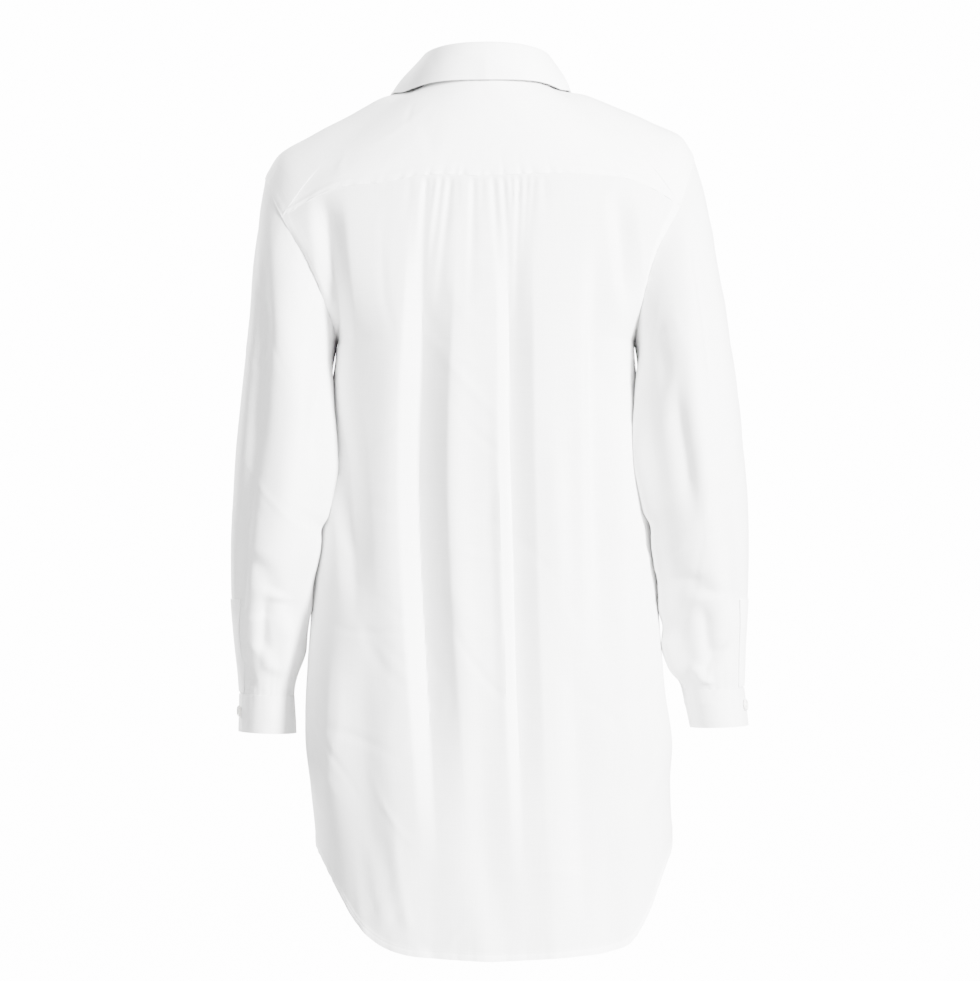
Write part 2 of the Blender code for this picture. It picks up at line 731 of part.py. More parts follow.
def fall_panel():
    """The collar's fall: up from the stand, over the fold and down to its outer edge."""
    angles = np.linspace(-FALL_HALF_ANGLE, FALL_HALF_ANGLE, FALL_COLUMNS)
    columns = []
    for angle in angles:
        turn = math.radians(angle)
        outward = np.array((math.sin(turn), math.cos(turn), 0.0))
        share = (angle + STAND_OVERLAP_ANGLE) / (2 * STAND_OVERLAP_ANGLE)
        foot = stand_point(angle, STAND_HEIGHT, lap_step(share)) - outward * CLOTH
        line = []
        for i in range(len(COLLAR_FOLD["step"])):
            rise = np.array((0, 0, COLLAR_FOLD["up"][i]))
            line.append(foot + (outward * COLLAR_FOLD["out"][i] + rise) * MM)
        side = LEFT if angle > 0 else RIGHT
        x, y, drop = follow(COLLAR_EDGE[side], "angle", abs(angle), "x", "y", "drop")
        edge = point(side * x, y, drop)
        crest = line[-1]
        for step in COLLAR_FALL_STEPS:
            spread = outward * COLLAR_SPREAD * math.sin(math.pi * step) * MM
            line.append(crest * (1 - step) + edge * step + spread)
        columns.append(line)
    return np.array(columns).transpose(1, 0, 2)


def placket_panel(x_low, x_high, columns, moved_out):
    """A strip down the centre front, its top edge on the neckline and its foot on the hem."""
    xs = np.linspace(x_low, x_high, columns)
    rows = (YOKE_FRONT_ARM_ANGLE - 180) // ARM_STEP - FRONT_NECK_ROWS + TRUNK_ROWS
    upper = (YOKE_FRONT_ARM_ANGLE - 180) // ARM_STEP - FRONT_NECK_ROWS
    hem = tail_drop(0, FRONT)
    grid = []
    for i in range(rows + 1):
        line = []
        for x in xs:
            angle = 180 - math.degrees(math.asin(abs(x) / NECK_HALF_WIDTH))
            top = follow(NECK_DROP, "angle", angle, "drop")[0] + moved_out / MM * PLACKET_TOP_CUT
            if i <= upper:
                drop = top + (UNDERARM_DROP - top) * i / upper
            else:
                drop = UNDERARM_DROP + (hem - UNDERARM_DROP) * (i - upper) / TRUNK_ROWS
            line.append(front_strip(x, drop))
        grid.append(line)
    grid = np.array(grid)
    normals = grid_normals(grid)
    facing_front = normals * -np.sign(normals[:, :, 1:2])
    return grid + facing_front * moved_out


def sleeve_placket_panel(side):
    """The bound slit above the cuff, a strip that lies on the sleeve."""
    rings = np.linspace(SLEEVE_PLACKET_TOP, SLEEVE_PLACKET_FOOT, SLEEVE_PLACKET_ROWS)
    middle = CUFF_BUTTON_ANGLE
    half = SLEEVE_PLACKET_HALF_ANGLE
    angles = (middle - half, middle, middle + half)
    grid = np.array([[sleeve_point(side, ring, angle) for angle in angles] for ring in rings])
    normals = grid_normals(grid) * side
    return grid - normals * (CLOTH + LAYER_GAP)


def add_object(name, points, faces, colour):
    mesh = bpy.data.meshes.new(name)
    mesh.from_pydata([tuple(p) for p in points], [], faces)
    mesh.update()
    mesh.shade_smooth()
    mesh.set_sharp_from_angle(angle=math.radians(SHARP_ANGLE))
    material = bpy.data.materials.new(name)
    material.use_nodes = True
    shader = material.node_tree.nodes["Principled BSDF"]
    shader.inputs["Base Color"].default_value = colour
    shader.inputs["Roughness"].default_value = ROUGHNESS
    mesh.materials.append(material)
    built = bpy.data.objects.new(name, mesh)
    bpy.context.scene.collection.objects.link(built)
    return built


def cloth_normals(panels):
    """Outward normals of every panel; at a seam, the mean of the panels that face one way."""
    met = {}
    own = {}
    for name, (grid, closed) in panels.items():
        own[name] = (ring_normals(grid) if closed else grid_normals(grid))
        own[name] *= outward_sign(name, grid, own[name])
        for spot, normal in zip(grid.reshape(-1, 3), own[name].reshape(-1, 3)):
            met.setdefault(tuple(np.round(spot, JOIN_DIGITS)), []).append(normal.copy())
    for name, (grid, _) in panels.items():
        for spot, normal in zip(grid.reshape(-1, 3), own[name].reshape(-1, 3)):
            meeting = np.array(met[tuple(np.round(spot, JOIN_DIGITS))])
            mean = meeting[meeting @ normal > MITRE_LIMIT].sum(axis=0)
            normal[:] = mean / np.linalg.norm(mean)
    return own


def pull_back(line, inner, amount):
    """Moves an edge line towards the line beside it."""
    way = inner - line
    return line + way / np.linalg.norm(way, axis=1, keepdims=True) * amount


def wall(name, grid, normals, closed):
    """A closed cloth wall: an outer face, an inner face behind it, and its cut edges."""
    outer, inner = grid.copy(), grid - normals * CLOTH
    head_gap = SEAM_GAP if closed else SEAM_GAP / 2
    for face in (outer, inner):
        face[0] = pull_back(face[0], face[1], head_gap)
        face[-1] = pull_back(face[-1], face[-2], SEAM_GAP / 2)
        if not closed:
            face[:, 0] = pull_back(face[:, 0], face[:, 1], SEAM_GAP / 2)
            face[:, -1] = pull_back(face[:, -1], face[:, -2], SEAM_GAP / 2)
    rows, columns, _ = grid.shape
    count = rows * columns

    def at(row, column, layer):
        return layer * count + row * columns + column % columns

    faces = []
    last = columns if closed else columns - 1
    for i in range(rows - 1):
        for j in range(last):
            corners = ((i, j), (i + 1, j), (i + 1, j + 1), (i, j + 1))
            faces.append([at(a, b, 0) for a, b in corners])
            faces.append([at(a, b, 1) for a, b in corners[::-1]])
    foot, right = rows - 1, columns - 1
    for j in range(last):
        after = j + 1
        faces.append([at(0, j, 0), at(0, after, 0), at(0, after, 1), at(0, j, 1)])
        faces.append([at(foot, after, 0), at(foot, j, 0), at(foot, j, 1), at(foot, after, 1)])
    if not closed:
        for i in range(foot):
            below = i + 1
            faces.append([at(below, 0, 0), at(i, 0, 0), at(i, 0, 1), at(below, 0, 1)])
            faces.append([at(i, right, 0), at(below, right, 0), at(below, right, 1), at(i, right, 1)])
    points = np.concatenate((outer.reshape(-1, 3), inner.reshape(-1, 3)))
    quad = grid[1, 1] - grid[0, 0], grid[1, 0] - grid[0, 1]
    if np.cross(quad[0], quad[1]) @ normals[0, 0] > 0:
        faces = [face[::-1] for face in faces]
    return add_object(name, points, faces, LINEN_COLOUR)


# A button's section: rim and dish, as shares of its radius and of its thickness.
BUTTON_SECTION = table(
    "radius height", (0.0, 0.0), (0.88, 0.0), (1.0, 0.5), (0.9, 1.0), (0.0, 0.75)
)


def button(name, seat, outward):
    """A flat round shirt button with a raised rim, lying on the cloth at its seat."""
    outward = outward / np.linalg.norm(outward)
    first = np.cross(outward, (0.0, 0.0, 1.0))
    first /= np.linalg.norm(first)
    second = np.cross(outward, first)
    base = seat + outward * SEAM_GAP
    points = [base]
    rims = len(BUTTON_SECTION["radius"]) - 2
    for i in range(1, rims + 1):
        radius = BUTTON_SECTION["radius"][i] * BUTTON_RADIUS * MM
        lift = BUTTON_SECTION["height"][i] * BUTTON_THICKNESS * MM
        for k in range(BUTTON_SIDES):
            turn = 2 * math.pi * k / BUTTON_SIDES
            ray = first * math.cos(turn) + second * math.sin(turn)
            points.append(base + outward * lift + ray * radius)
    points.append(base + outward * BUTTON_SECTION["height"][-1] * BUTTON_THICKNESS * MM)
    faces = []
    for k in range(BUTTON_SIDES):
        after = (k + 1) % BUTTON_SIDES
        faces.append([0, 1 + after, 1 + k])
        for i in range(rims - 1):
            low, high = 1 + i * BUTTON_SIDES, 1 + (i + 1) * BUTTON_SIDES
            faces.append([low + k, low + after, high + after, high + k])
        top = 1 + (rims - 1) * BUTTON_SIDES
        faces.append([len(points) - 1, top + k, top + after])
    return add_object(name, points, faces, BUTTON_COLOUR)


def front_button_seats():
    """Places of the front buttons, on the placket with the buttonholes."""
    for i in range(FRONT_BUTTONS):
        drop = FIRST_BUTTON_DROP + BUTTON_PITCH * i
        above, below = front_strip(0, drop - BUTTON_RADIUS), front_strip(0, drop + BUTTON_RADIUS)
        outward = np.cross(above - below, (1.0, 0.0, 0.0))
        outward /= -np.linalg.norm(outward) * np.sign(outward[1])
        seat = front_strip(0, drop) + outward * (CLOTH + LAYER_GAP)
        yield f"button_front_{i + 1}", seat, outward


def cuff_button_seat(side):
    """Place of a cuff button, on the lapped end of the cuff."""
    share = (CUFF_BUTTON_ANGLE - CUFF_SPLIT_ANGLE) / (360 + CUFF_LAP_ANGLE)
    proud = lap_step(share)
    here = cuff_point(side, CUFF_BUTTON_ROW, CUFF_BUTTON_ANGLE, proud)
    beside = cuff_point(side, CUFF_BUTTON_ROW, CUFF_BUTTON_ANGLE + 3, proud) - here
    below = cuff_point(side, 1, CUFF_BUTTON_ANGLE, proud) - cuff_point(side, 0, CUFF_BUTTON_ANGLE, proud)
    outward = np.cross(beside, below)
    if outward[0] * side < 0:
        outward = -outward
    return here, outward


def outward_sign(name, grid, normals):
    """Which way a grid's own normals point: 1 where they already leave the garment."""
    middle = np.zeros(3)
    if name.startswith(("sleeve", "cuff")):
        side = LEFT if name.endswith("left") else RIGHT
        middle = (sleeve_ring(side, LAST_RING - 1, 0) + sleeve_ring(side, LAST_RING - 1, 180)) / 2
    row, column = 1 if name == "yoke" else -2, grid.shape[1] // 3
    away = grid[row, column] - middle
    return 1 if away[:2] @ normals[row, column][:2] > 0 else -1


def build():
    for old in list(bpy.data.objects):
        bpy.data.objects.remove(old, do_unlink=True)
    yoke = yoke_panel()
    half = PLACKET_HALF_WIDTH
    # Each panel: its grid of points, and whether its columns close into rings.
    panels = {
        "back": (back_panel(), False),
        "yoke": (yoke, False),
        "front_left": (front_panel(LEFT, yoke), False),
        "front_right": (front_panel(RIGHT, yoke), False),
        "placket_buttons": (placket_panel(half, -PLACKET_FREE_EDGE, 3, 0.0), False),
        "placket_buttonholes": (placket_panel(half, -half, 3, CLOTH + LAYER_GAP), False),
        "collar_stand": (stand_panel(), False),
        "collar_fall": (fall_panel(), False),
    }
    for side, word in ((LEFT, "left"), (RIGHT, "right")):
        panels[f"sleeve_{word}"] = (sleeve_panel(side), True)
        panels[f"sleeve_placket_{word}"] = (sleeve_placket_panel(side), False)
        panels[f"cuff_{word}"] = (cuff_panel(side), False)
    normals = cloth_normals(panels)
    for name, (grid, closed) in panels.items():
        wall(name, grid, normals[name], closed)
    for name, seat, outward in front_button_seats():
        button(name, seat, outward)
    stand_share = (STAND_OVERLAP_ANGLE - 180) / (2 * STAND_OVERLAP_ANGLE)
    stand_seat = stand_point(180, STAND_HEIGHT / 2, lap_step(stand_share) + ROUND_SEAT_RISE)
    button("button_collar", stand_seat, np.array((0.0, -STAND_HEIGHT, STAND_LEAN)))
    for side, word in ((LEFT, "left"), (RIGHT, "right")):
        seat, outward = cuff_button_seat(side)
        button(f"button_cuff_{word}", seat, outward)


build()
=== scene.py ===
# %% [markdown]
# # A long white linen shirt, worn
#
# A shirt is cut from flat linen: a back gathered into a yoke, two fronts, two sleeves, a folded
# collar on its stand, cuffs and front bands. Sewn together and worn, the flat pieces bend into a
# hollow shell. This lesson builds each piece again as a thin, finely curved sheet on the solid
# of the same name, then adds what sewing and wearing leave in the cloth: folds, gathers,
# puckers, hems and stitches.

# %% Load the solid model
import math
from types import SimpleNamespace

import bpy
import numpy as np
from mathutils import Matrix, Vector


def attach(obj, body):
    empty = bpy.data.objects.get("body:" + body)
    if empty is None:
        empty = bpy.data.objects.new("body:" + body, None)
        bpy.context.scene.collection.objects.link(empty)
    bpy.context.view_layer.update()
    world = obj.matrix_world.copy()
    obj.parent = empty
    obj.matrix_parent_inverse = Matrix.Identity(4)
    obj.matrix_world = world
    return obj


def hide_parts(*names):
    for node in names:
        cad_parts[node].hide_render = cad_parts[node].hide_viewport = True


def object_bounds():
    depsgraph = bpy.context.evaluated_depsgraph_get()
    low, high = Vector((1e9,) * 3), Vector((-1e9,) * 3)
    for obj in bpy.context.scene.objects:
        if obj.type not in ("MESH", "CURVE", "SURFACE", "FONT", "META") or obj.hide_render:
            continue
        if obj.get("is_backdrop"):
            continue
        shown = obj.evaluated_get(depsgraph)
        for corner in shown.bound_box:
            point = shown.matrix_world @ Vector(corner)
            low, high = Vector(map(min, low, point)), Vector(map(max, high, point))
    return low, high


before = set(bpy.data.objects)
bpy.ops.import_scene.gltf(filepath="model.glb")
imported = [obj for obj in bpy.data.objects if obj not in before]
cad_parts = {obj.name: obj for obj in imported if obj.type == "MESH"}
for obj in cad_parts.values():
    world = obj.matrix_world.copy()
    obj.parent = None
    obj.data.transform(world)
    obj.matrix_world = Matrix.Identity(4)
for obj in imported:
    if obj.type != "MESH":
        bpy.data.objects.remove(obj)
solid_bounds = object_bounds()
size = solid_bounds[1] - solid_bounds[0]
print("Solid model:", len(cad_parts), "nodes,", [round(side, 3) for side in size], "m")

# %% [markdown]
# ## Reading a shape from a few measured lines
#
# The shirt is measured along a few lines: its armholes, its seams, its side edges. Each line is
# a small table of sizes in millimetres, and a smooth curve is drawn through its rows. Tables
# were chosen over long point lists because every number in them is a size that can be checked
# with a tape measure.

# %% Tables and smooth curves
MM = 0.001
LEFT, RIGHT = 1, -1
BACK, FRONT = 1, -1


def table(columns, *rows):
    """A small table: one name for each column and one row for each section."""
    data = np.array(rows, float)
    return {name: data[:, i] for i, name in enumerate(columns.split())}


def each(rows):
    """The rows of a table, one by one."""
    return [SimpleNamespace(**dict(zip(rows, values))) for values in zip(*rows.values())]


def follow(rows, key, values, *names):
    """Smooth curves through the rows of a table, read at many values of its key column."""
    xs = rows[key]
    values = np.clip(values, xs[0], xs[-1])
    i = np.clip(np.searchsorted(xs, values, side="right") - 1, 0, len(xs) - 2)
    step = xs[i + 1] - xs[i]
    s = (values - xs[i]) / step
    curves = []
    for name in names:
        ys = rows[name]
        slopes = np.empty_like(ys)
        slopes[1:-1] = (ys[2:] - ys[:-2]) / (xs[2:] - xs[:-2])
        slopes[0] = (ys[1] - ys[0]) / (xs[1] - xs[0])
        slopes[-1] = (ys[-1] - ys[-2]) / (xs[-1] - xs[-2])
        near = (1 + 2 * s) * (1 - s) ** 2 * ys[i] + s * (1 - s) ** 2 * step * slopes[i]
        far = s * s * (3 - 2 * s) * ys[i + 1] + s * s * (s - 1) * step * slopes[i + 1]
        curves.append(near + far)
    return curves


def ease(x):
    """Rises smoothly from 0 to 1 while x goes from 0 to 1."""
    x = np.clip(x, 0.0, 1.0)
    return x * x * (3 - 2 * x)


def point(x, y, drop):
    """Points of the shirt; a drop is measured downward from the neck point."""
    x, y, drop = np.broadcast_arrays(x, y, drop)
    return np.stack((x, y, -drop), axis=-1) * MM


def stations(length, pitch, head=(), foot=()):
    """Shares from 0 to 1 at one pitch, with closer steps where an edge is sewn."""
    first, last = max(head, default=0), length - max(foot, default=0)
    inner = np.linspace(first, last, round((last - first) / pitch) + 1)
    places = np.unique(np.round(np.concatenate((head, inner, length - np.array(foot))), 3))
    return (places - places[0]) / (places[-1] - places[0])


# %% The lines of the body
NECK_HALF_WIDTH = 64.0
NECK_HALF_DEPTH = 64.0
NECK_CENTRE_Y = -2.0

# The armhole seam, from the top of the shoulder (0) down the back (90) to the underarm (180)
# and up the front (270). The wearer's right shoulder is carried a little higher than the left.
ARMHOLE = {
    LEFT: table(
        "angle out y drop",
        (-45, 205, -52, 116), (0, 221, -4, 83), (45, 202, 52, 124), (90, 174, 68, 172),
        (135, 154, 52, 222), (180, 148, 0, 246), (225, 150, -52, 224), (270, 164, -73, 172),
        (315, 205, -52, 116), (360, 221, -4, 83), (405, 202, 52, 124),
    ),
    RIGHT: table(
        "angle out y drop",
        (-45, 194, -52, 100), (0, 208, -4, 62), (45, 192, 52, 112), (90, 167, 68, 162),
        (135, 152, 52, 218), (180, 147, 0, 246), (225, 149, -52, 220), (270, 162, -73, 162),
        (315, 194, -52, 100), (360, 208, -4, 62), (405, 192, 52, 112),
    ),
}

# The neckline drops from the centre back (0) to the centre front (180); it is level at both.
NECK_DROP = table(
    "angle drop", (-45, -13), (0, -16), (45, -13), (90, -2), (135, 24), (180, 43), (225, 24)
)

# The seam between yoke and back, from the right armhole (-1) to the left armhole (1).
YOKE_SEAM = table(
    "place x y drop",
    (-1, -192, 52, 112), (-0.75, -146, 71, 89), (-0.5, -95, 85.5, 83), (-0.25, -45, 91, 83),
    (0, 5, 92, 85), (0.25, 55, 90.5, 84), (0.5, 100, 84, 91), (0.75, 152, 70, 98),
    (1, 202, 52, 124),
)

# How far the yoke swells out of a straight line from neckline to seam, round the neck.
YOKE_SWELL = table(
    "angle swell shoulder", (0, 5, 0), (30, 6, 0.1), (66, 13, 0.6), (89, 22, 1), (105, 18, 1)
)
SHOULDER_CURVE = table(
    "place swell", (0, 0), (0.1, 0.28), (0.2, 0.58), (0.3, 0.75), (0.45, 0.89), (0.6, 1),
    (0.75, 0.98), (0.86, 0.78), (0.94, 0.38), (1, 0),
)

# The body's centre back, centre front and side seams.
CENTRE_BACK = table(
    "drop x y",
    (85, 5, 92), (120, 4.5, 101), (160, 4, 107), (200, 3.5, 110.5), (246, 3, 112), (300, 2, 111),
    (400, 0.5, 108), (466, -0.5, 108), (520, -1.5, 111), (595, -2.5, 117), (685, -4, 121),
    (870, -6, 124),
)
CENTRE_FRONT = table(
    "drop y",
    (38, -61), (44, -66), (70, -79), (110, -99), (160, -118), (210, -128), (246, -131),
    (300, -133), (400, -129), (466, -126), (520, -125), (870, -126),
)
SIDES = table(
    "drop left right roundness",
    (246, 148, 147, 2.9), (300, 155, 151.5, 2.5), (350, 159, 157, 2.45), (400, 163, 163, 2.4),
    (466, 171.5, 170.5, 2.35), (520, 175, 173, 2.3), (595, 180, 179, 2.3), (645, 180.5, 186, 2.3),
    (685, 176, 184, 2.3), (745, 170, 186, 2.3), (870, 166, 186, 2.3),
)

# The shirt tail of the back, by the angle round the body from centre back to side seam.
TAIL = table(
    "angle left right",
    (0, 855, 855), (20, 852, 852), (30, 849, 850), (40, 840, 847), (50, 821, 838), (60, 792, 808),
    (70, 767, 774), (80, 753, 755), (90, 745, 745),
)

print("Body measured on", len(SIDES["drop"]), "levels and", len(TAIL["angle"]), "places of its hem")

# %% Curved surfaces between the seams
UNDERARM_DROP = 246.0
YOKE_FRONT_NECK_ANGLE = 105.0
YOKE_BACK_NECK_ANGLE = 66.0
YOKE_BACK_ARM_ANGLE = 45.0
YOKE_FRONT_ARM_ANGLE = 330.0
SETTLING = 1.7
ARMHOLE_REACH = 3
FRONT_TAIL_SHARE = 0.75
PLACKET_HALF_WIDTH = 15.0


def armhole(side, angle):
    out, y, drop = follow(ARMHOLE[side], "angle", np.asarray(angle) % 360, "out", "y", "drop")
    return point(side * out, y, drop)


def neckline(angle):
    """The neck seam; the angle is 0 at the centre back and grows to the left."""
    turn = np.radians(angle)
    (drop,) = follow(NECK_DROP, "angle", np.abs(angle), "drop")
    return point(
        NECK_HALF_WIDTH * np.sin(turn), NECK_CENTRE_Y + NECK_HALF_DEPTH * np.cos(turn), drop
    )


def yoke_seam(place):
    return point(*follow(YOKE_SEAM, "place", place, "x", "y", "drop"))


def flattened(reach, power):
    """Depth of the body's rounded section at a share of its half width."""
    return np.maximum(1 - reach ** power, 0.0) ** (1 / power)


def trunk(place, drop, face):
    """The body below the armholes, from the right side seam (-1) to the left side seam (1)."""
    place, drop = np.broadcast_arrays(np.asarray(place, float), np.asarray(drop, float))
    left, right, power = follow(SIDES, "drop", drop, "left", "right", "roundness")
    if face == BACK:
        centre, depth = follow(CENTRE_BACK, "drop", drop, "x", "y")
    else:
        centre, depth = 0.0, follow(CENTRE_FRONT, "drop", drop, "y")[0]
    edge = np.where(place > 0, left, -right)
    reach = np.sin(np.abs(place) * np.pi / 2)
    return point(centre + (edge - centre) * reach, depth * flattened(reach, power), drop)


def tail_drop(place, face):
    """How far the hem lies below the neck point."""
    side = TAIL["left"][-1]
    left, right = follow(TAIL, "angle", np.abs(place) * 90, "left", "right")
    share = 1.0 if face == BACK else FRONT_TAIL_SHARE
    return side + (np.where(place > 0, left, right) - side) * share


def patch(top, bottom, inner, outer, down, across):
    """A sheet stretched between four edges, which turns smoothly upright at its foot."""
    settled = 1 - (1 - down) ** SETTLING
    weight = np.stack((settled, settled, down), axis=-1)[:, None]
    inner, outer = inner[:, None], outer[:, None]
    sheet = (1 - weight) * top + weight * bottom
    inner_bend = inner - (1 - weight) * inner[0] - weight * inner[-1]
    outer_bend = outer - (1 - weight) * outer[0] - weight * outer[-1]
    near, far = (1 - ease(across))[:, None], (across ** ARMHOLE_REACH)[:, None]
    return sheet + near * inner_bend + far * outer_bend


def lengths(grid, axis):
    """Distances along the columns (axis 0) or the rows (axis 1) of a grid, in millimetres."""
    steps = np.linalg.norm(np.diff(grid, axis=axis), axis=2) / MM
    start = np.zeros_like(np.take(steps, [0], axis=axis))
    return np.concatenate((start, np.cumsum(steps, axis=axis)), axis=axis)


def grid_normals(grid, outward, closed=False):
    """Normals that leave the garment; outward says which way the grid turns."""
    if closed:
        grid = np.concatenate((grid[:, -1:], grid, grid[:, :1]), axis=1)
    normals = np.cross(np.gradient(grid, axis=1), np.gradient(grid, axis=0)) * outward
    if closed:
        normals = normals[:, 1:-1]
    return normals / np.linalg.norm(normals, axis=2, keepdims=True)


print("Chest at the underarm:", np.round(trunk(0, UNDERARM_DROP, BACK) / MM, 1), "at centre back")

# %% [markdown]
# ## What sewing and wearing leave in the cloth
#
# A hem is cloth turned twice and stitched, so its edge is a raised band with a groove where the
# thread pulls. A seam draws the cloth together a little unevenly, which gives short puckers.
# Linen creases where the wearer moves. All three are heights added to the sheet along its own
# normals, in millimetres. They are listed one by one or placed by a fixed rule, because cloth
# this stiff keeps its creases and a simulated drop would lose the shape of the wearer.

# %% Bands, puckers and creases
BAND_SOFTNESS = 2.2
GROOVE_DEPTH = 0.3
GROOVE_HALF_WIDTH = 0.9
PUCKER_SPACING = (7.0, 21.0)
PUCKER_HALF_WIDTH = (1.8, 3.8)
PUCKER_REACH = (7.0, 22.0)
PUCKER_SHARE = (0.25, 1.0)
CREASE_LENGTH = (14.0, 60.0)
CREASE_HALF_WIDTH = (2.6, 10.0)
CREASE_BEND = (-0.004, 0.004)
TENT_REACH = 1.5


def puckers(distance, along, depth, seed, lengths=PUCKER_REACH):
    """Short dents across a seam, uneven in place, width and length."""
    chance = np.random.default_rng(seed)
    height = np.zeros_like(distance)
    spot = along.min()
    while spot < along.max():
        spot += chance.uniform(*PUCKER_SPACING)
        half_width, reach = chance.uniform(*PUCKER_HALF_WIDTH), chance.uniform(*lengths)
        share = chance.uniform(*PUCKER_SHARE)
        height -= depth * share * np.exp(-((along - spot) / half_width) ** 2 - distance / reach)
    return height


def sewn_edge(distance, along, width, rise, stitched, pucker, seed, lengths=PUCKER_REACH):
    """A turned or felled edge: its raised band, the grooves of its stitches, its puckers."""
    height = rise * ease((width + BAND_SOFTNESS - distance) / BAND_SOFTNESS)
    for place in stitched:
        height -= GROOVE_DEPTH * np.exp(-((distance - place) / GROOVE_HALF_WIDTH) ** 2)
    return height + puckers(distance, along, pucker, seed, lengths)


def worn_creases(across, down, count, depth, seed, lean=0.0, spread=1.2, girth=None):
    """Faint creases of worn linen, uneven in place, length, direction and depth."""
    chance = np.random.default_rng(seed)
    height = np.zeros_like(across)
    for _ in range(count):
        x = chance.uniform(across.min(), across.max())
        y = chance.uniform(down.min(), down.max())
        turn = lean + chance.normal(0.0, spread)
        length, width = chance.uniform(*CREASE_LENGTH), chance.uniform(*CREASE_HALF_WIDTH)
        bend, size = chance.uniform(*CREASE_BEND), depth * chance.uniform(-1.0, 1.0)
        aside = across - x
        if girth:
            aside = (aside + girth / 2) % girth - girth / 2
        along = (down - y) * math.cos(turn) + aside * math.sin(turn)
        away = aside * math.cos(turn) - (down - y) * math.sin(turn) + bend * along ** 2
        height += size * np.exp(-(away / width) ** 2 - (along / length) ** 2)
    return height


def long_folds(folds, x, drop):
    """Folds along a path of three places: two widths each, from round (0) to crisp (1)."""
    height = np.zeros_like(x)
    for fold in each(folds):
        path = table("drop x", (fold.top_drop, fold.top_x), (fold.mid_drop, fold.mid_x),
                     (fold.low_drop, fold.low_x))
        away = x - follow(path, "drop", drop, "x")[0]
        away /= np.where(away > 0, fold.plus_width, fold.minus_width)
        along = (drop - fold.top_drop) / (fold.low_drop - fold.top_drop)
        fade = ease(along / fold.fade_in) * ease((1 - along) / fold.fade_out)
        tent = np.clip(1 - np.abs(away) / TENT_REACH, 0, 1)
        height += fold.height * fade * (fold.crisp * tent + (1 - fold.crisp) * np.exp(-away * away))
    return height


FOLD_COLUMNS = (
    "top_x top_drop mid_x mid_drop low_x low_drop plus_width minus_width height fade_in fade_out crisp"
)
print("Puckers stand", PUCKER_SPACING, "mm apart; worn creases are", CREASE_LENGTH, "mm long each way")

# %% [markdown]
# ## Linen, buttons and thread
#
# Linen is woven from slightly uneven flax threads, so white linen shows fine streaks along and
# across the cloth and has almost no shine. The streaks are made from the threads' own
# directions, which every sheet carries as its UV map in metres, so they bend with the cloth.
# Where the cloth is doubled, in yoke, collar, cuffs, hems and felled seams, less light goes
# through it and it looks whiter. Single cloth has painted shade: its colour is made a little
# darker, standing in for the shade inside the shirt that shows through it. Every sheet carries
# a mask called layers, 1 where it is doubled; the cuffs leave it at 0.

# %% Materials
WHITE = (1.0, 1.0, 1.0, 1.0)
THREAD_PITCH = 0.00062
STREAK_FINE = 620.0
STREAK_LONG = 22.0
STREAK_NOISE = {"Scale": 1.0, "Detail": 2.0, "Roughness": 0.6}
LINEN_LIGHT = (0.96, 0.96, 0.955, 1.0)
LINEN_SHADE = (0.89, 0.89, 0.89, 1.0)
LINEN_TINTS = ((0.30, LINEN_SHADE), (0.70, LINEN_LIGHT))
LINEN_ROUGHNESS = 0.88
LINEN_FINISH = {"Specular IOR Level": 0.25, "Sheen Weight": 0.12, "Sheen Roughness": 0.6}
# Painted shade: single cloth's colour is scaled down to this share, standing in for the shade inside
# the shirt that shows through it; doubled cloth keeps its full colour.
SINGLE_LAYER_PAINTED_SHADE = 0.88
WEAVE_SHARE = 0.35
WEAVE_BUMP = {"Strength": 0.35, "Distance": 0.00018}
PEARL_SCALE = 260.0
PEARL_TINTS = ((0.35, (0.80, 0.79, 0.74, 1.0)), (0.65, (0.90, 0.89, 0.86, 1.0)))
PEARL_COAT = 0.4


def feed(tree, node, inputs):
    """Gives each input of a node a number, a colour or the output of another node."""
    for name, value in inputs.items():
        if isinstance(value, bpy.types.NodeSocket):
            tree.links.new(value, node.inputs[name])
        else:
            node.inputs[name].default_value = value
    return node


def add_node(tree, kind, inputs=None, **settings):
    """A shader node with its settings and its inputs."""
    node = tree.nodes.new(kind)
    for name, value in settings.items():
        setattr(node, name, value)
    return feed(tree, node, inputs or {})


def calculate(tree, operation, *values):
    """The output of one Math node."""
    return add_node(tree, "ShaderNodeMath", dict(enumerate(values)), operation=operation).outputs[0]


def tinted(tree, value, stops):
    """The colour that a value has between two stops."""
    ramp = add_node(tree, "ShaderNodeValToRGB", {"Fac": value})
    for element, (position, colour) in zip(ramp.color_ramp.elements, stops):
        element.position, element.color = position, colour
    return ramp.outputs["Color"]


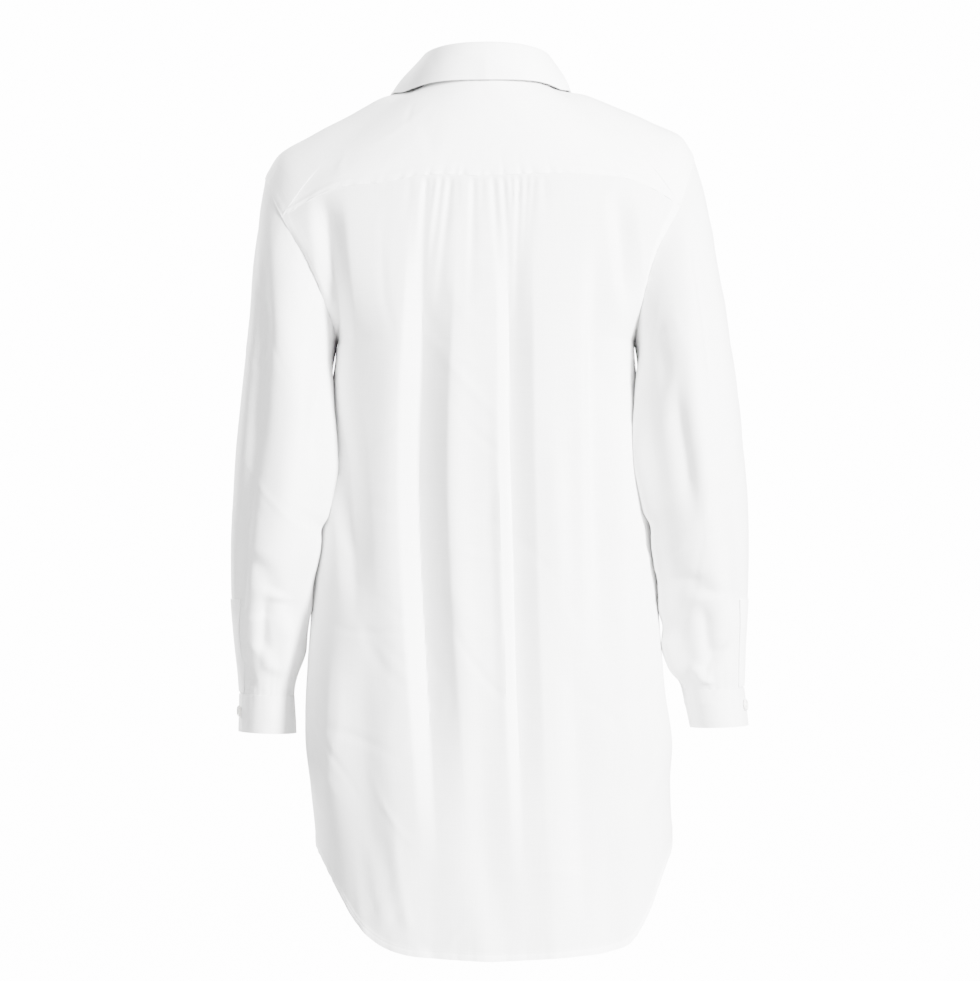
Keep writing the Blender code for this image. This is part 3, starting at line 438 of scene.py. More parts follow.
def linen_weave_group():
    """Colour and height of plain-woven linen at a place on the cloth, with painted shade on single
    cloth.
    """
    tree = bpy.data.node_groups.new("linen_weave", "ShaderNodeTree")
    for name, way, kind in (
        ("Threads", "INPUT", "Vector"), ("Layers", "INPUT", "Float"),
        ("Color", "OUTPUT", "Color"), ("Height", "OUTPUT", "Float"),
    ):
        tree.interface.new_socket(name, in_out=way, socket_type="NodeSocket" + kind)
    start, end = add_node(tree, "NodeGroupInput"), add_node(tree, "NodeGroupOutput")
    threads = start.outputs["Threads"]
    streaks = []
    for scale in ((STREAK_FINE, STREAK_LONG, 1.0), (STREAK_LONG, STREAK_FINE, 1.0)):
        stretch = add_node(tree, "ShaderNodeVectorMath", {0: threads, 1: scale}, operation="MULTIPLY")
        noise = {"Vector": stretch.outputs["Vector"], **STREAK_NOISE}
        streaks.append(add_node(tree, "ShaderNodeTexNoise", noise).outputs["Fac"])
    slubs = calculate(tree, "ADD", *streaks)
    tint = tinted(tree, calculate(tree, "MULTIPLY", slubs, 0.5), LINEN_TINTS)
    # Painted shade: where the cloth is single (layers 0) its colour is made darker, standing in for
    # shade showing through; doubled cloth (layers 1) keeps its full colour.
    painted_shade_factor = calculate(
        tree, "MULTIPLY_ADD", start.outputs["Layers"], 1.0 - SINGLE_LAYER_PAINTED_SHADE, SINGLE_LAYER_PAINTED_SHADE
    )
    tint_with_painted_shade = {"Vector": tint, "Scale": painted_shade_factor}
    tint_with_painted_shade = add_node(tree, "ShaderNodeVectorMath", tint_with_painted_shade, operation="SCALE")
    split = add_node(tree, "ShaderNodeSeparateXYZ", {"Vector": threads})
    waves = []
    for axis in ("X", "Y"):
        phase = calculate(tree, "MULTIPLY", split.outputs[axis], math.pi / THREAD_PITCH)
        waves.append(calculate(tree, "SINE", phase))
    crossing = calculate(tree, "MULTIPLY", *waves)
    height = calculate(tree, "MULTIPLY_ADD", crossing, WEAVE_SHARE, slubs)
    feed(tree, end, {"Color": tint_with_painted_shade.outputs["Vector"], "Height": height})
    return tree


def new_material(name, colour, roughness):
    material = bpy.data.materials.new(name)
    material.use_nodes = True
    tree = material.node_tree
    shader = tree.nodes["Principled BSDF"]
    feed(tree, shader, {"Base Color": colour, "Roughness": roughness})
    return material, tree, shader


def linen_material():
    material, tree, shader = new_material("linen", LINEN_LIGHT, LINEN_ROUGHNESS)
    threads = add_node(tree, "ShaderNodeUVMap", uv_map="threads").outputs["UV"]
    # The layers mask: single cloth (0) gets painted shade in the weave group, doubled cloth (1) none.
    layers = add_node(tree, "ShaderNodeAttribute", attribute_name="layers").outputs["Fac"]
    cloth = {"Threads": threads, "Layers": layers}
    weave = add_node(tree, "ShaderNodeGroup", cloth, node_tree=linen_weave_group())
    bump = add_node(tree, "ShaderNodeBump", {"Height": weave.outputs["Height"], **WEAVE_BUMP})
    feed(tree, shader, {"Base Color": weave.outputs["Color"], "Normal": bump.outputs["Normal"]})
    feed(tree, shader, LINEN_FINISH)
    return material


def button_material():
    """Off-white shirt button with a faint pearly cloud."""
    material, tree, shader = new_material("button", (0.85, 0.84, 0.80, 1.0), 0.24)
    place = add_node(tree, "ShaderNodeTexCoord").outputs["Object"]
    cloud = add_node(tree, "ShaderNodeTexNoise", {"Vector": place, "Scale": PEARL_SCALE})
    colour = tinted(tree, cloud.outputs["Fac"], PEARL_TINTS)
    feed(tree, shader, {"Base Color": colour, "Coat Weight": PEARL_COAT})
    return material


LINEN = linen_material()
BUTTON = button_material()
THREAD = new_material("sewing_thread", (0.90, 0.90, 0.89, 1.0), 0.6)[0]
print("Materials:", LINEN.name, BUTTON.name, THREAD.name)

# %% [markdown]
# ## From a grid of points to a sheet of cloth
#
# A piece of cloth is an outer face, an inner face one thickness behind it and the cut edge
# between them. Stitches are real threads too: each one is a small raised bead that lies in the
# groove of its seam.

# %% Sheets and stitches
CLOTH = 0.9
SHARP_ANGLE = 50.0
STITCH_PITCH = 2.9
STITCH_LENGTH = 2.2
STITCH_WIDTH = 0.5
STITCH_HEIGHT = 0.22
STITCH_SINK = 0.1
BAND_BLUR = 1.5
SATIN_PITCH = 0.55
SATIN_REACH = (0.25, 1.5)
BUTTONHOLE = 15.0
LINE_POINTS = 60


def put(name, data):
    """A new object in the scene."""
    made = bpy.data.objects.new(name, data)
    bpy.context.scene.collection.objects.link(made)
    return made


def mesh_object(name, points, faces, uv, material, smooth=True):
    """A mesh made of four-sided faces, with its UV map in metres."""
    mesh = bpy.data.meshes.new(name)
    mesh.vertices.add(len(points))
    mesh.vertices.foreach_set("co", points.astype(np.float32).ravel())
    mesh.loops.add(faces.size)
    mesh.loops.foreach_set("vertex_index", faces.astype(np.int32).ravel())
    mesh.polygons.add(len(faces))
    mesh.polygons.foreach_set("loop_start", np.arange(0, faces.size, faces.shape[1], dtype=np.int32))
    layer = mesh.uv_layers.new(name="threads")
    layer.data.foreach_set("uv", uv.astype(np.float32).ravel())
    mesh.update(calc_edges=True)
    if smooth:
        mesh.shade_smooth()
        mesh.set_sharp_from_angle(angle=math.radians(SHARP_ANGLE))
    mesh.materials.append(material)
    return put(name, mesh)


def strip(upper, lower):
    """Corners of the faces between two lines."""
    return np.stack((upper[:-1], lower[:-1], lower[1:], upper[1:]), axis=1)


def sheet_mesh(name, grid, normals, thickness, closed=False, layers=0.0):
    """A closed thin wall: the outer face is the grid, the inner one lies behind it."""
    rows, columns = grid.shape[:2]
    points = np.concatenate((grid.reshape(-1, 3), (grid - normals * thickness * MM).reshape(-1, 3)))
    index = np.arange(rows * columns).reshape(rows, columns)
    looped = grid
    if closed:
        index = np.concatenate((index, index[:, :1]), axis=1)
        looped = np.concatenate((grid, grid[:, :1]), axis=1)
    across = lengths(looped, 1).mean(axis=0, keepdims=True) + np.zeros(index.shape)
    down = lengths(looped, 0).mean(axis=1, keepdims=True) + np.zeros(index.shape)
    place = np.stack((across, down), axis=-1) * MM
    behind = index + rows * columns
    parts = []
    for i in range(len(index) - 1):
        corners, spots = strip(index[i], index[i + 1]), strip(place[i], place[i + 1])
        parts.append((corners, spots))
        parts.append((corners[:, ::-1] + rows * columns, spots[:, ::-1]))
    rims = [(index[0][::-1], behind[0][::-1], place[0][::-1]), (index[-1], behind[-1], place[-1])]
    if not closed:
        rims.append((index[:, 0], behind[:, 0], place[:, 0]))
        rims.append((index[::-1, -1], behind[::-1, -1], place[::-1, -1]))
    for front, back, spots in rims:
        parts.append((strip(front, back), strip(spots, spots)))
    faces = np.concatenate([part[0] for part in parts])
    uv = np.concatenate([part[1] for part in parts])
    first = points[faces[0]]
    if np.cross(first[2] - first[0], first[3] - first[1]) @ normals[0, 0] < 0:
        faces, uv = faces[:, ::-1], uv[:, ::-1]
    made = mesh_object(name, points, faces, uv, LINEN)
    mask = np.broadcast_to(np.asarray(layers, np.float32), (rows, columns)).ravel()
    carried = made.data.attributes.new("layers", "FLOAT", "POINT")
    carried.data.foreach_set("value", np.concatenate((mask, mask)))
    return made


def band_mask(distance, width):
    """1 on a doubled band beside an edge, 0 elsewhere."""
    return ease((width + BAND_BLUR / 2 - distance) / BAND_BLUR)


def sampled(grid, rows, columns):
    """Points between the lines of a grid, by row and column counted in lines."""
    i = np.clip(rows.astype(int), 0, grid.shape[0] - 2)
    j = np.clip(columns.astype(int), 0, grid.shape[1] - 2)
    s, t = (rows - i)[:, None], (columns - j)[:, None]
    upper = grid[i, j] * (1 - t) + grid[i, j + 1] * t
    lower = grid[i + 1, j] * (1 - t) + grid[i + 1, j + 1] * t
    return upper * (1 - s) + lower * s


def beside_edge(grid, normals, edge, distance):
    """The line on a sheet that runs beside one of its edges, and the normals along it."""
    turned = {
        "head": lambda a: a,
        "foot": lambda a: a[::-1],
        "start": lambda a: a.transpose(1, 0, 2),
        "end": lambda a: a.transpose(1, 0, 2)[::-1],
    }[edge]
    spots, facing = turned(grid), turned(normals)
    length = lengths(spots, 0)
    row = np.clip((length < distance).sum(axis=0) - 1, 0, len(spots) - 2)
    column = np.arange(spots.shape[1])
    low, high = length[row, column], length[row + 1, column]
    share = ((distance - low) / np.maximum(high - low, 1e-6))[:, None]
    line = spots[row, column] * (1 - share) + spots[row + 1, column] * share
    return line, facing[row, column]


def thread_beads(first, last, normal):
    """One small raised bead of thread from each first point to its last point."""
    middle = (first + last) / 2
    aside = np.cross(normal, last - first)
    aside *= STITCH_WIDTH / 2 * MM / np.maximum(np.linalg.norm(aside, axis=1, keepdims=True), 1e-9)
    sunk = normal * STITCH_SINK * MM
    corners = (first - sunk, last - sunk, middle + aside - sunk, middle - aside - sunk,
               middle + normal * STITCH_HEIGHT * MM)
    points = np.stack(corners, axis=1).reshape(-1, 3)
    bead = np.array(((0, 3, 4), (3, 1, 4), (1, 2, 4), (2, 0, 4), (0, 2, 3), (2, 1, 3)))
    faces = (np.arange(len(first))[:, None, None] * len(corners) + bead).reshape(-1, 3)
    return points, faces


def stitch_beads(line, facing):
    """One small bead of thread for each stitch along a line."""
    steps = np.linalg.norm(np.diff(line, axis=0), axis=1) / MM
    run = np.concatenate(([0.0], np.cumsum(steps)))
    centres = np.arange(STITCH_PITCH, run[-1] - STITCH_PITCH, STITCH_PITCH)
    if len(centres) == 0:
        return np.zeros((0, 3)), np.zeros((0, 3), int)

    def at(places, values):
        return np.stack([np.interp(places, run, values[:, k]) for k in range(3)], axis=1)

    first, last = at(centres - STITCH_LENGTH / 2, line), at(centres + STITCH_LENGTH / 2, line)
    return thread_beads(first, last, at(centres, facing))


def edge_stitches(grid, normals, edges, places, keep=slice(None)):
    """Lines of stitches beside some edges of a sheet, whole or only where they are kept."""
    beads = []
    for edge in edges:
        for place in places:
            line, facing = beside_edge(grid, normals, edge, place)
            beads.append(stitch_beads(line[keep], facing[keep]))
    return beads


def stitched_line(grid, normals, start, end):
    """Stitches on a sheet from one row and column to another, counted in lines."""
    rows, columns = (np.linspace(start[k], end[k], LINE_POINTS) for k in (0, 1))
    return stitch_beads(sampled(grid, rows, columns), sampled(normals, rows, columns))


def buttonhole(grid, normals, row, column, upright):
    """Satin stitches along both sides of a buttonhole, and a bar of them at each end."""
    down, across = lengths(grid, 0)[:, int(column)], lengths(grid, 1)[int(row)]
    lines = np.arange(len(down)), np.arange(len(across))
    middle = np.interp(row, lines[0], down), np.interp(column, lines[1], across)

    def spot(along, aside):
        along, aside = np.broadcast_arrays(along, aside)
        fall, reach = (along, aside) if upright else (aside, along)
        rows = np.interp(middle[0] + fall, down, lines[0])
        columns = np.interp(middle[1] + reach, across, lines[1])
        return sampled(grid, rows, columns), sampled(normals, rows, columns)

    near, far = SATIN_REACH
    sides = np.arange(-BUTTONHOLE / 2, BUTTONHOLE / 2, SATIN_PITCH)
    bar = np.arange(-far, far + SATIN_PITCH, SATIN_PITCH)
    beads = []
    for sign in (-1, 1):
        first, normal = spot(sides, sign * near)
        beads.append(thread_beads(first, spot(sides, sign * far)[0], normal))
        first, normal = spot(sign * BUTTONHOLE / 2, bar)
        beads.append(thread_beads(first, spot(sign * (BUTTONHOLE / 2 + far), bar)[0], normal))
    return beads


def thread_object(name, beads):
    """All the stitches of a piece as one object."""
    points, faces, count = [], [], 0
    for spots, corners in beads:
        points.append(spots)
        faces.append(corners + count)
        count += len(spots)
    points, faces = np.concatenate(points), np.concatenate(faces)
    return mesh_object(name, points, faces, np.zeros((faces.size, 2)), THREAD, smooth=False)


def flat_area(grid):
    """Area of one face of a sheet, in square metres."""
    diagonals = grid[1:, 1:] - grid[:-1, :-1], grid[1:, :-1] - grid[:-1, 1:]
    return float(np.linalg.norm(np.cross(*diagonals), axis=2).sum() / 2)


def sew(name, grid, normals, flat, area=None, beads=(), thickness=CLOTH,
        closed=False, layers=0.0):
    """Builds one cut piece with its stitches, in place of the solid of the same name."""
    cloth = sheet_mesh(name + "_cloth", grid, normals, thickness, closed, layers)
    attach(cloth, "root")
    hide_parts(name)
    if beads:
        thread = thread_object(name + "_stitches", beads)
        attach(thread, "root")
    measured = flat_area(np.concatenate((grid, grid[:, :1]), axis=1) if closed else grid)
    stated = area or flat[0] * flat[1]
    print(f"{name}: {grid.shape[0]} x {grid.shape[1]} points, {measured:.3f} m2, cut {stated:.3f} m2")


print("Cloth is", CLOTH, "mm thick, with a stitch every", STITCH_PITCH, "mm")


# %% [markdown]
# ## The back
#
# The back is one wide piece. Its top edge is wider than the yoke, so it is gathered a little to
# the left and right of the middle, and the fullness opens into two long soft folds which make
# the middle stand a little proud. The light comes from the right of the picture, so a fold looks
# dark on the side that turns to the left: each fold has one steep and one gentle side.

# %% Folds of the back
BACK_FOLDS = table(
    FOLD_COLUMNS,
    (60, 112, 70, 400, 46, 790, 10, 22, -20.0, 0.24, 0.38, 0.8),
    (26, 170, 32, 400, 10, 720, 11, 14, 4.0, 0.35, 0.40, 0),
    (-21, 112, -25, 400, -38, 810, 7, 16, -17.5, 0.24, 0.45, 0.8),
    (-10, 240, -17, 500, -24, 700, 7, 8, 4.0, 0.45, 0.45, 0.2),
    (-108, 130, -109, 330, -112, 600, 9, 17, -14.0, 0.30, 0.45, 0.6),
    (-94, 200, -97, 340, -100, 540, 10, 9, 2.4, 0.40, 0.40, 0.2),
    (84, 150, 96, 380, 84, 640, 18, 15, 3.4, 0.40, 0.45, 0.2),
    (150, 280, 141, 380, 126, 540, 9, 17, -9.5, 0.40, 0.45, 0.6),
    (163, 92, 157, 165, 150, 256, 8, 15, -12.0, 0.30, 0.30, 0.6),
    (-127, 92, -134, 150, -143, 232, 8, 12, -9.0, 0.35, 0.40, 0.6),
    (112, 480, 122, 640, 104, 838, 20, 18, -4.5, 0.40, 0.30, 0.2),
    (-84, 520, -92, 680, -100, 846, 14, 20, -5.5, 0.40, 0.30, 0.2),
    (-132, 430, -143, 600, -150, 770, 14, 12, 4.0, 0.40, 0.40, 0.2),
    (8, 560, 2, 700, -6, 852, 16, 20, -4.0, 0.40, 0.25, 0.2),
    (150, 520, 154, 640, 148, 770, 10, 14, 4.0, 0.40, 0.40, 0.2),
    (92, 700, 84, 780, 70, 850, 8, 6, 1.5, 0.40, 0.30, 0.2),
    (120, 720, 106, 790, 92, 846, 7, 9, 1.5, 0.40, 0.30, 0.2),
    (-66, 300, -70, 430, -76, 560, 12, 9, 3.0, 0.40, 0.45, 0.2),
    (60, 700, 52, 800, 44, 1000, 16, 18, -2.2, 0.30, 0.20, 0.2),
    (-60, 680, -66, 790, -70, 1000, 15, 18, 3.2, 0.30, 0.20, 0.2),
    (-118, 660, -122, 760, -126, 1000, 12, 14, -3.2, 0.30, 0.20, 0.2),
    (10, 740, 4, 820, 0, 1000, 14, 14, 2.8, 0.30, 0.20, 0.2),
)
GATHERS = table(
    "x length depth plus_width minus_width lean",
    (59, 130, 3.4, 2.2, 4.6, 9), (51, 60, 1.5, 2.6, 2.0, 6), (44, 105, 2.8, 2.0, 4.2, 12),
    (35, 140, 3.2, 2.4, 4.4, 14), (27, 45, 1.0, 3.0, 2.2, 2), (13, 150, 2.6, 2.0, 4.6, 3),
    (4, 52, 1.1, 2.6, 2.6, 0), (-6, 135, 2.6, 2.0, 4.0, -9), (-16, 110, 3.0, 2.0, 3.4, -8),
    (-25, 84, 1.8, 2.4, 2.0, -2), (-32, 160, 3.6, 2.2, 4.0, 3), (-40, 112, 2.8, 2.0, 4.0, 4),
    (-47, 88, 1.6, 1.8, 3.4, 5), (-57, 50, 1.0, 2.8, 3.2, -2), (74, 44, 0.9, 3.2, 3.4, 4),
)
GATHER_SPREAD = 0.7
GATHER_GAIN = 1.25
GATHER_START = 10.0
GATHER_PITCH = 1.6
GATHER_MARGIN = 8.0
SIDE_PITCH = 3.4
ROW_PITCH = 3.4
SEAM_POINTS = 801
BACK_TOP_STEPS = (0.0, 1.2, 2.4)
HEM_STEPS = (0.0, 1.0, 2.4, 4.0, 5.4, 6.4, 7.2, 8.4, 10.0, 12.5)
SEAM_STEPS = (0.0, 1.5, 3.5, 5.5, 7.5, 9.5)
HEM_WIDTH, HEM_RISE, HEM_STITCH = 7.0, 0.55, 6.2
FELL_WIDTH, FELL_RISE, FELL_STITCHES, FELL_PUCKER = 7.0, 0.5, (1.6, 6.2), 0.5
FELLED = (FELL_WIDTH, FELL_RISE, FELL_STITCHES, FELL_PUCKER)
SEAM_MARGIN, SEAM_PUCKER = 10.0, 0.4
FAR_AWAY = 1000.0

# For each piece, the number of its worn creases and their greatest depth.
BACK_CREASES = (170, 0.95)
BACK_TOP_MARGIN = 4.0
BACK_HEM_PUCKER = 0.8


def gathers(place, x, drop):
    """Creases that run down from the yoke seam and die out."""
    below = drop + yoke_seam(place)[..., 2] / MM
    height = np.zeros_like(x)
    for gather in each(GATHERS):
        share = np.clip(below / gather.length, 0, 1)
        away = x - gather.x - gather.lean * share
        away /= np.where(away > 0, gather.plus_width, gather.minus_width)
        away /= 1 + GATHER_SPREAD * share
        fade = GATHER_GAIN * ease(below / GATHER_START) * (1 - share)
        height -= gather.depth * fade * np.exp(-away * away)
    return height


def back_places():
    """Places across the back, close together under the gathers."""
    places = np.linspace(-1, 1, SEAM_POINTS)
    xs = yoke_seam(places)[:, 0] / MM
    left, right = max(GATHERS["x"]) + GATHER_MARGIN, min(GATHERS["x"]) - GATHER_MARGIN
    middle = np.linspace(right, left, round((left - right) / GATHER_PITCH) + 1)
    beside_right = xs[0] + stations(right - xs[0], SIDE_PITCH, head=SEAM_STEPS) * (right - xs[0])
    beside_left = xs[-1] - stations(xs[-1] - left, SIDE_PITCH, head=SEAM_STEPS) * (xs[-1] - left)
    stops = np.unique(np.round(np.concatenate((beside_right, middle, beside_left)), 3))
    return np.interp(stops, xs, places)


def back_surface(places):
    """The smooth back, from the yoke seam over the armholes down to the shirt tail."""
    seam_drop = -yoke_seam(0.0)[2] / MM
    down = stations(UNDERARM_DROP - seam_drop, ROW_PITCH, head=BACK_TOP_STEPS)
    inner = trunk(0.0, seam_drop + (UNDERARM_DROP - seam_drop) * down, BACK)
    angle = YOKE_BACK_ARM_ANGLE + (180 - YOKE_BACK_ARM_ANGLE) * down
    halves = []
    for side, own in ((RIGHT, places[places <= 0]), (LEFT, places[places > 0])):
        top, bottom = yoke_seam(own), trunk(own, UNDERARM_DROP, BACK)
        halves.append(patch(top, bottom, inner, armhole(side, angle), down, np.abs(own)))
    tail = tail_drop(places, BACK) - UNDERARM_DROP
    share = stations(float(tail.max()), ROW_PITCH, foot=HEM_STEPS)[1:, None]
    lower = trunk(places[None], UNDERARM_DROP + tail * share, BACK)
    return np.concatenate((np.concatenate(halves, axis=1), lower))


def shaped(grid, outward, height, closed=False):
    """The sheet with heights added along its normals, and its new normals."""
    grid = grid + grid_normals(grid, outward, closed) * (height * MM)[..., None]
    return grid, grid_normals(grid, outward, closed)


def panel_edges(panel, across, down, from_side, hem_pucker, seed):
    """Heights and doubled bands of a body panel's hem and felled armhole seams."""
    from_hem = down[-1:] - down
    from_arm = np.where(-panel[..., 2] / MM < UNDERARM_DROP, from_side, FAR_AWAY)
    run = across[-1:] + np.zeros_like(across)
    height = sewn_edge(from_hem, run, HEM_WIDTH, HEM_RISE, (HEM_STITCH,), hem_pucker, seed)
    height += sewn_edge(from_arm, down, *FELLED, seed + 1)
    return height, np.maximum(band_mask(from_hem, HEM_WIDTH), band_mask(from_arm, FELL_WIDTH))


def panel_stitches(panel, normals, *arm_edges):
    """Stitches of a body panel's hem and armhole seams."""
    column = {"start": 0, "end": -1}[arm_edges[0]]
    arm_rows = slice(int((-panel[:, column, 2] / MM < UNDERARM_DROP).sum()))
    beads = edge_stitches(panel, normals, ("foot",), (HEM_STITCH,))
    return beads + edge_stitches(panel, normals, arm_edges, FELL_STITCHES, arm_rows)


places = back_places()
back = back_surface(places)
x, drop = back[..., 0] / MM, -back[..., 2] / MM
across, down = lengths(back, 1), lengths(back, 0)
from_side = np.minimum(across, across[:, -1:] - across)
height = long_folds(BACK_FOLDS, x, drop) + gathers(places[None], x, drop)
height += worn_creases(across, down, *BACK_CREASES, seed=11)
height *= ease(from_side / SEAM_MARGIN) * ease(down / BACK_TOP_MARGIN)
edges, doubled = panel_edges(back, across, down, from_side, BACK_HEM_PUCKER, 12)
height += edges + puckers(down, across, SEAM_PUCKER, 14)
back, normals = shaped(back, 1, height)
sew("back", back, normals, (0.56, 0.80), area=0.35,
    beads=panel_stitches(back, normals, "start", "end"), layers=doubled)

# %% [markdown]
# ## The yoke
#
# The yoke is a double piece over both shoulders that carries the whole shirt. It lies over the
# top edge of the back and is stitched close to its fold, so its lower edge is a thin step with
# small puckers above it.

# %% Build the yoke
YOKE_ROWS = (0.0, 0.13, 0.26, 0.39, 0.52, 0.64, 0.74, 0.83, 0.9, 0.96, 1.0)
YOKE_DEPTH = 160.0
YOKE_PITCH = 3.2
YOKE_ARM_PITCH_ANGLE = 1.3
YOKE_TOP_STEPS = (0.0, 2.0)
YOKE_FOOT_STEPS = (0.0, 0.8, 1.6, 2.4, 3.4, 5.0, 6.4, 8.0)
YOKE_STITCH = 2.2
YOKE_LAP = 0.9
YOKE_EDGE_RISE = 0.9
YOKE_SMOOTHING = 220
YOKE_SMOOTHING_FADES = (0.3, 0.35)
YOKE_BAND = 8.0
YOKE_CREASES = (40, 0.5)
YOKE_MARGIN = 12.0
YOKE_PUCKER = 2.0
YOKE_PUCKER_REACH = (3.0, 8.0)
YOKE_FRONT_MARGIN, YOKE_FRONT_SHARE = 2.0, 0.4

# The collar presses the cloth up beside the neck, more on the lower left shoulder.
NECK_LIFT = {LEFT: 3.8, RIGHT: 1.4}
NECK_LIFT_PLACE = 0.2
NECK_LIFT_SPREAD = 0.15
NECK_LIFT_FADES = (0.08, 0.3)


def faded(shares, fades):
    """Rises from 0 at the first share and falls to 0 at the last."""
    return ease(shares / fades[0]) * ease((1 - shares) / fades[1])


def yoke_surface(places):
    """The yoke, from the neckline out to its seams, and from right front round to left front."""
    span = 360 - YOKE_FRONT_ARM_ANGLE + YOKE_BACK_ARM_ANGLE
    share = stations(span, YOKE_ARM_PITCH_ANGLE)[:-1]
    arm_angle = YOKE_FRONT_NECK_ANGLE + (YOKE_BACK_NECK_ANGLE - YOKE_FRONT_NECK_ANGLE) * share
    right = armhole(RIGHT, YOKE_FRONT_ARM_ANGLE + span * share)
    left = armhole(LEFT, YOKE_FRONT_ARM_ANGLE + span * share)[::-1]
    angle = np.concatenate((-arm_angle, YOKE_BACK_NECK_ANGLE * places, arm_angle[::-1]))
    outer = np.concatenate((right, yoke_seam(places), left))
    rows = stations(YOKE_DEPTH, YOKE_PITCH, YOKE_TOP_STEPS, YOKE_FOOT_STEPS)
    grid = neckline(angle) * (1 - rows)[:, None, None] + outer * rows[:, None, None]
    (curve,) = follow(SHOULDER_CURVE, "place", rows, "swell")
    swell, shoulder = follow(YOKE_SWELL, "angle", np.abs(angle), "swell", "shoulder")
    rounded = np.sin(np.pi * rows)[:, None]
    height = swell * (shoulder * curve[:, None] + (1 - shoulder) * rounded)
    beside_neck = np.exp(-((rows - NECK_LIFT_PLACE) / NECK_LIFT_SPREAD) ** 2)
    beside_neck *= faded(rows, NECK_LIFT_FADES)
    lift = np.where(angle > 0, NECK_LIFT[LEFT], NECK_LIFT[RIGHT]) * shoulder
    grid = shaped(grid, 1, height + lift * beside_neck[:, None])[0]
    smooth = grid.copy()
    for _ in range(YOKE_SMOOTHING):
        smooth[:, 1:-1] = (smooth[:, :-2] + 2 * smooth[:, 1:-1] + smooth[:, 2:]) / 4
    weight = faded(rows, YOKE_SMOOTHING_FADES)
    return grid + (smooth - grid) * weight[:, None, None], rows, len(share)


yoke, yoke_rows, arm_columns = yoke_surface(places)
yoke_top = yoke.copy()
across, down = lengths(yoke, 1), lengths(yoke, 0)
from_foot = down[-1:] - down
foot_run = across[-1:] + np.zeros_like(across)
front_edge = np.minimum(across, across[:, -1:] - across)
height = worn_creases(foot_run, down, *YOKE_CREASES, seed=21)
height *= ease(from_foot / YOKE_MARGIN) * ease(down / YOKE_MARGIN)
column = np.arange(yoke.shape[1])
on_back = (column >= arm_columns) & (column < yoke.shape[1] - arm_columns)
back_edge = sewn_edge(from_foot, foot_run, YOKE_BAND, YOKE_EDGE_RISE, (YOKE_STITCH,), YOKE_PUCKER,
                      22, YOKE_PUCKER_REACH)
arm_edge = sewn_edge(from_foot, foot_run, *FELLED, 23)
height += np.where(on_back, back_edge, arm_edge)
height *= ease(front_edge / YOKE_FRONT_MARGIN + YOKE_FRONT_SHARE)
yoke, normals = shaped(yoke, 1, height)
lap = yoke[-1] - yoke[-2]
lap /= np.linalg.norm(lap, axis=1, keepdims=True)
yoke[-1, on_back] += (lap * YOKE_LAP * MM)[on_back]
beads = edge_stitches(yoke, normals, ("foot",), (YOKE_STITCH,), on_back)
for keep in (slice(arm_columns), slice(-arm_columns, None)):
    beads += edge_stitches(yoke, normals, ("foot",), FELL_STITCHES, keep)
sew("yoke", yoke, normals, (0.50, 0.26), area=0.072,
    beads=beads, layers=1.0)

# %% [markdown]
# ## The fronts
#
# The photo hides the front, so it is finished plainly: two fronts with the same shirt tail, a
# little shorter than the back, and soft folds like those of the back.

# %% Build the fronts
FRONT_FOLDS = table(
    FOLD_COLUMNS,
    (62, 190, 70, 440, 66, 800, 16, 18, -5.5, 0.30, 0.35, 0.2),
    (104, 240, 116, 470, 112, 760, 15, 15, 4.0, 0.30, 0.35, 0.2),
    (40, 330, 42, 540, 36, 810, 10, 12, 3.5, 0.30, 0.35, 0.2),
    (134, 200, 126, 300, 120, 460, 12, 12, -4.0, 0.30, 0.35, 0.2),
    (96, 560, 92, 680, 86, 800, 12, 14, -3.5, 0.30, 0.35, 0.2),
    (150, 150, 140, 200, 128, 262, 10, 10, -3.0, 0.35, 0.40, 0.2),
)
FRONT_MIRROR_SHIFT = 7.0
FRONT_CREASES = (45, 0.7)
FRONT_TOP_MARGIN = 6.0
FRONT_HEM_PUCKER = 0.7
PLACKET_MARGIN = 12.0


def front_strip(x, drop):
    """The middle of the front, where the two bands lie."""
    half, power = follow(SIDES, "drop", np.maximum(drop, UNDERARM_DROP), "left", "roundness")
    (depth,) = follow(CENTRE_FRONT, "drop", drop, "y")
    return point(x, depth * flattened(np.abs(x) / half, power), drop)


def placket_place(drop):
    """The place across the front where the band's seam lies."""
    (left,) = follow(SIDES, "drop", np.maximum(drop, UNDERARM_DROP), "left")
    return np.arcsin(PLACKET_HALF_WIDTH / left) / (math.pi / 2)


def front_surface(side, seam, rows):
    """One front; its top edge is the yoke's front edge."""
    shares = np.interp(rows, YOKE_ROWS, np.linspace(0, 1, len(YOKE_ROWS)))
    last_angle = 180 - math.degrees(math.asin(PLACKET_HALF_WIDTH / NECK_HALF_WIDTH))
    top_drop = follow(NECK_DROP, "angle", last_angle, "drop")[0]
    down = stations(UNDERARM_DROP - top_drop, ROW_PITCH)
    angle = YOKE_FRONT_NECK_ANGLE + (last_angle - YOKE_FRONT_NECK_ANGLE) * np.minimum(down * 2, 1)
    below = top_drop + (UNDERARM_DROP - top_drop) * np.maximum(down * 2 - 1, 0)
    on_neck = (down <= 0.5)[:, None]
    inner = np.where(on_neck, neckline(side * angle), front_strip(side * PLACKET_HALF_WIDTH, below))
    start = placket_place(UNDERARM_DROP)
    chest = trunk(side * (start + (1 - start) * shares), UNDERARM_DROP, FRONT)
    chest[0] = front_strip(side * PLACKET_HALF_WIDTH, UNDERARM_DROP)
    outer = armhole(side, YOKE_FRONT_ARM_ANGLE - (YOKE_FRONT_ARM_ANGLE - 180) * down)
    upper = patch(seam, chest, inner, outer, down, shares)
    tail = tail_drop(side * (start + (1 - start) * shares), FRONT) - UNDERARM_DROP
    share = stations(float(tail.max()), ROW_PITCH, foot=HEM_STEPS)[1:, None]
    drops = UNDERARM_DROP + tail * share
    first = placket_place(drops)
    lower = trunk(side * (first + (1 - first) * shares), drops, FRONT)
    lower[:, 0] = front_strip(side * PLACKET_HALF_WIDTH, drops[:, 0])
    return np.concatenate((upper, lower))


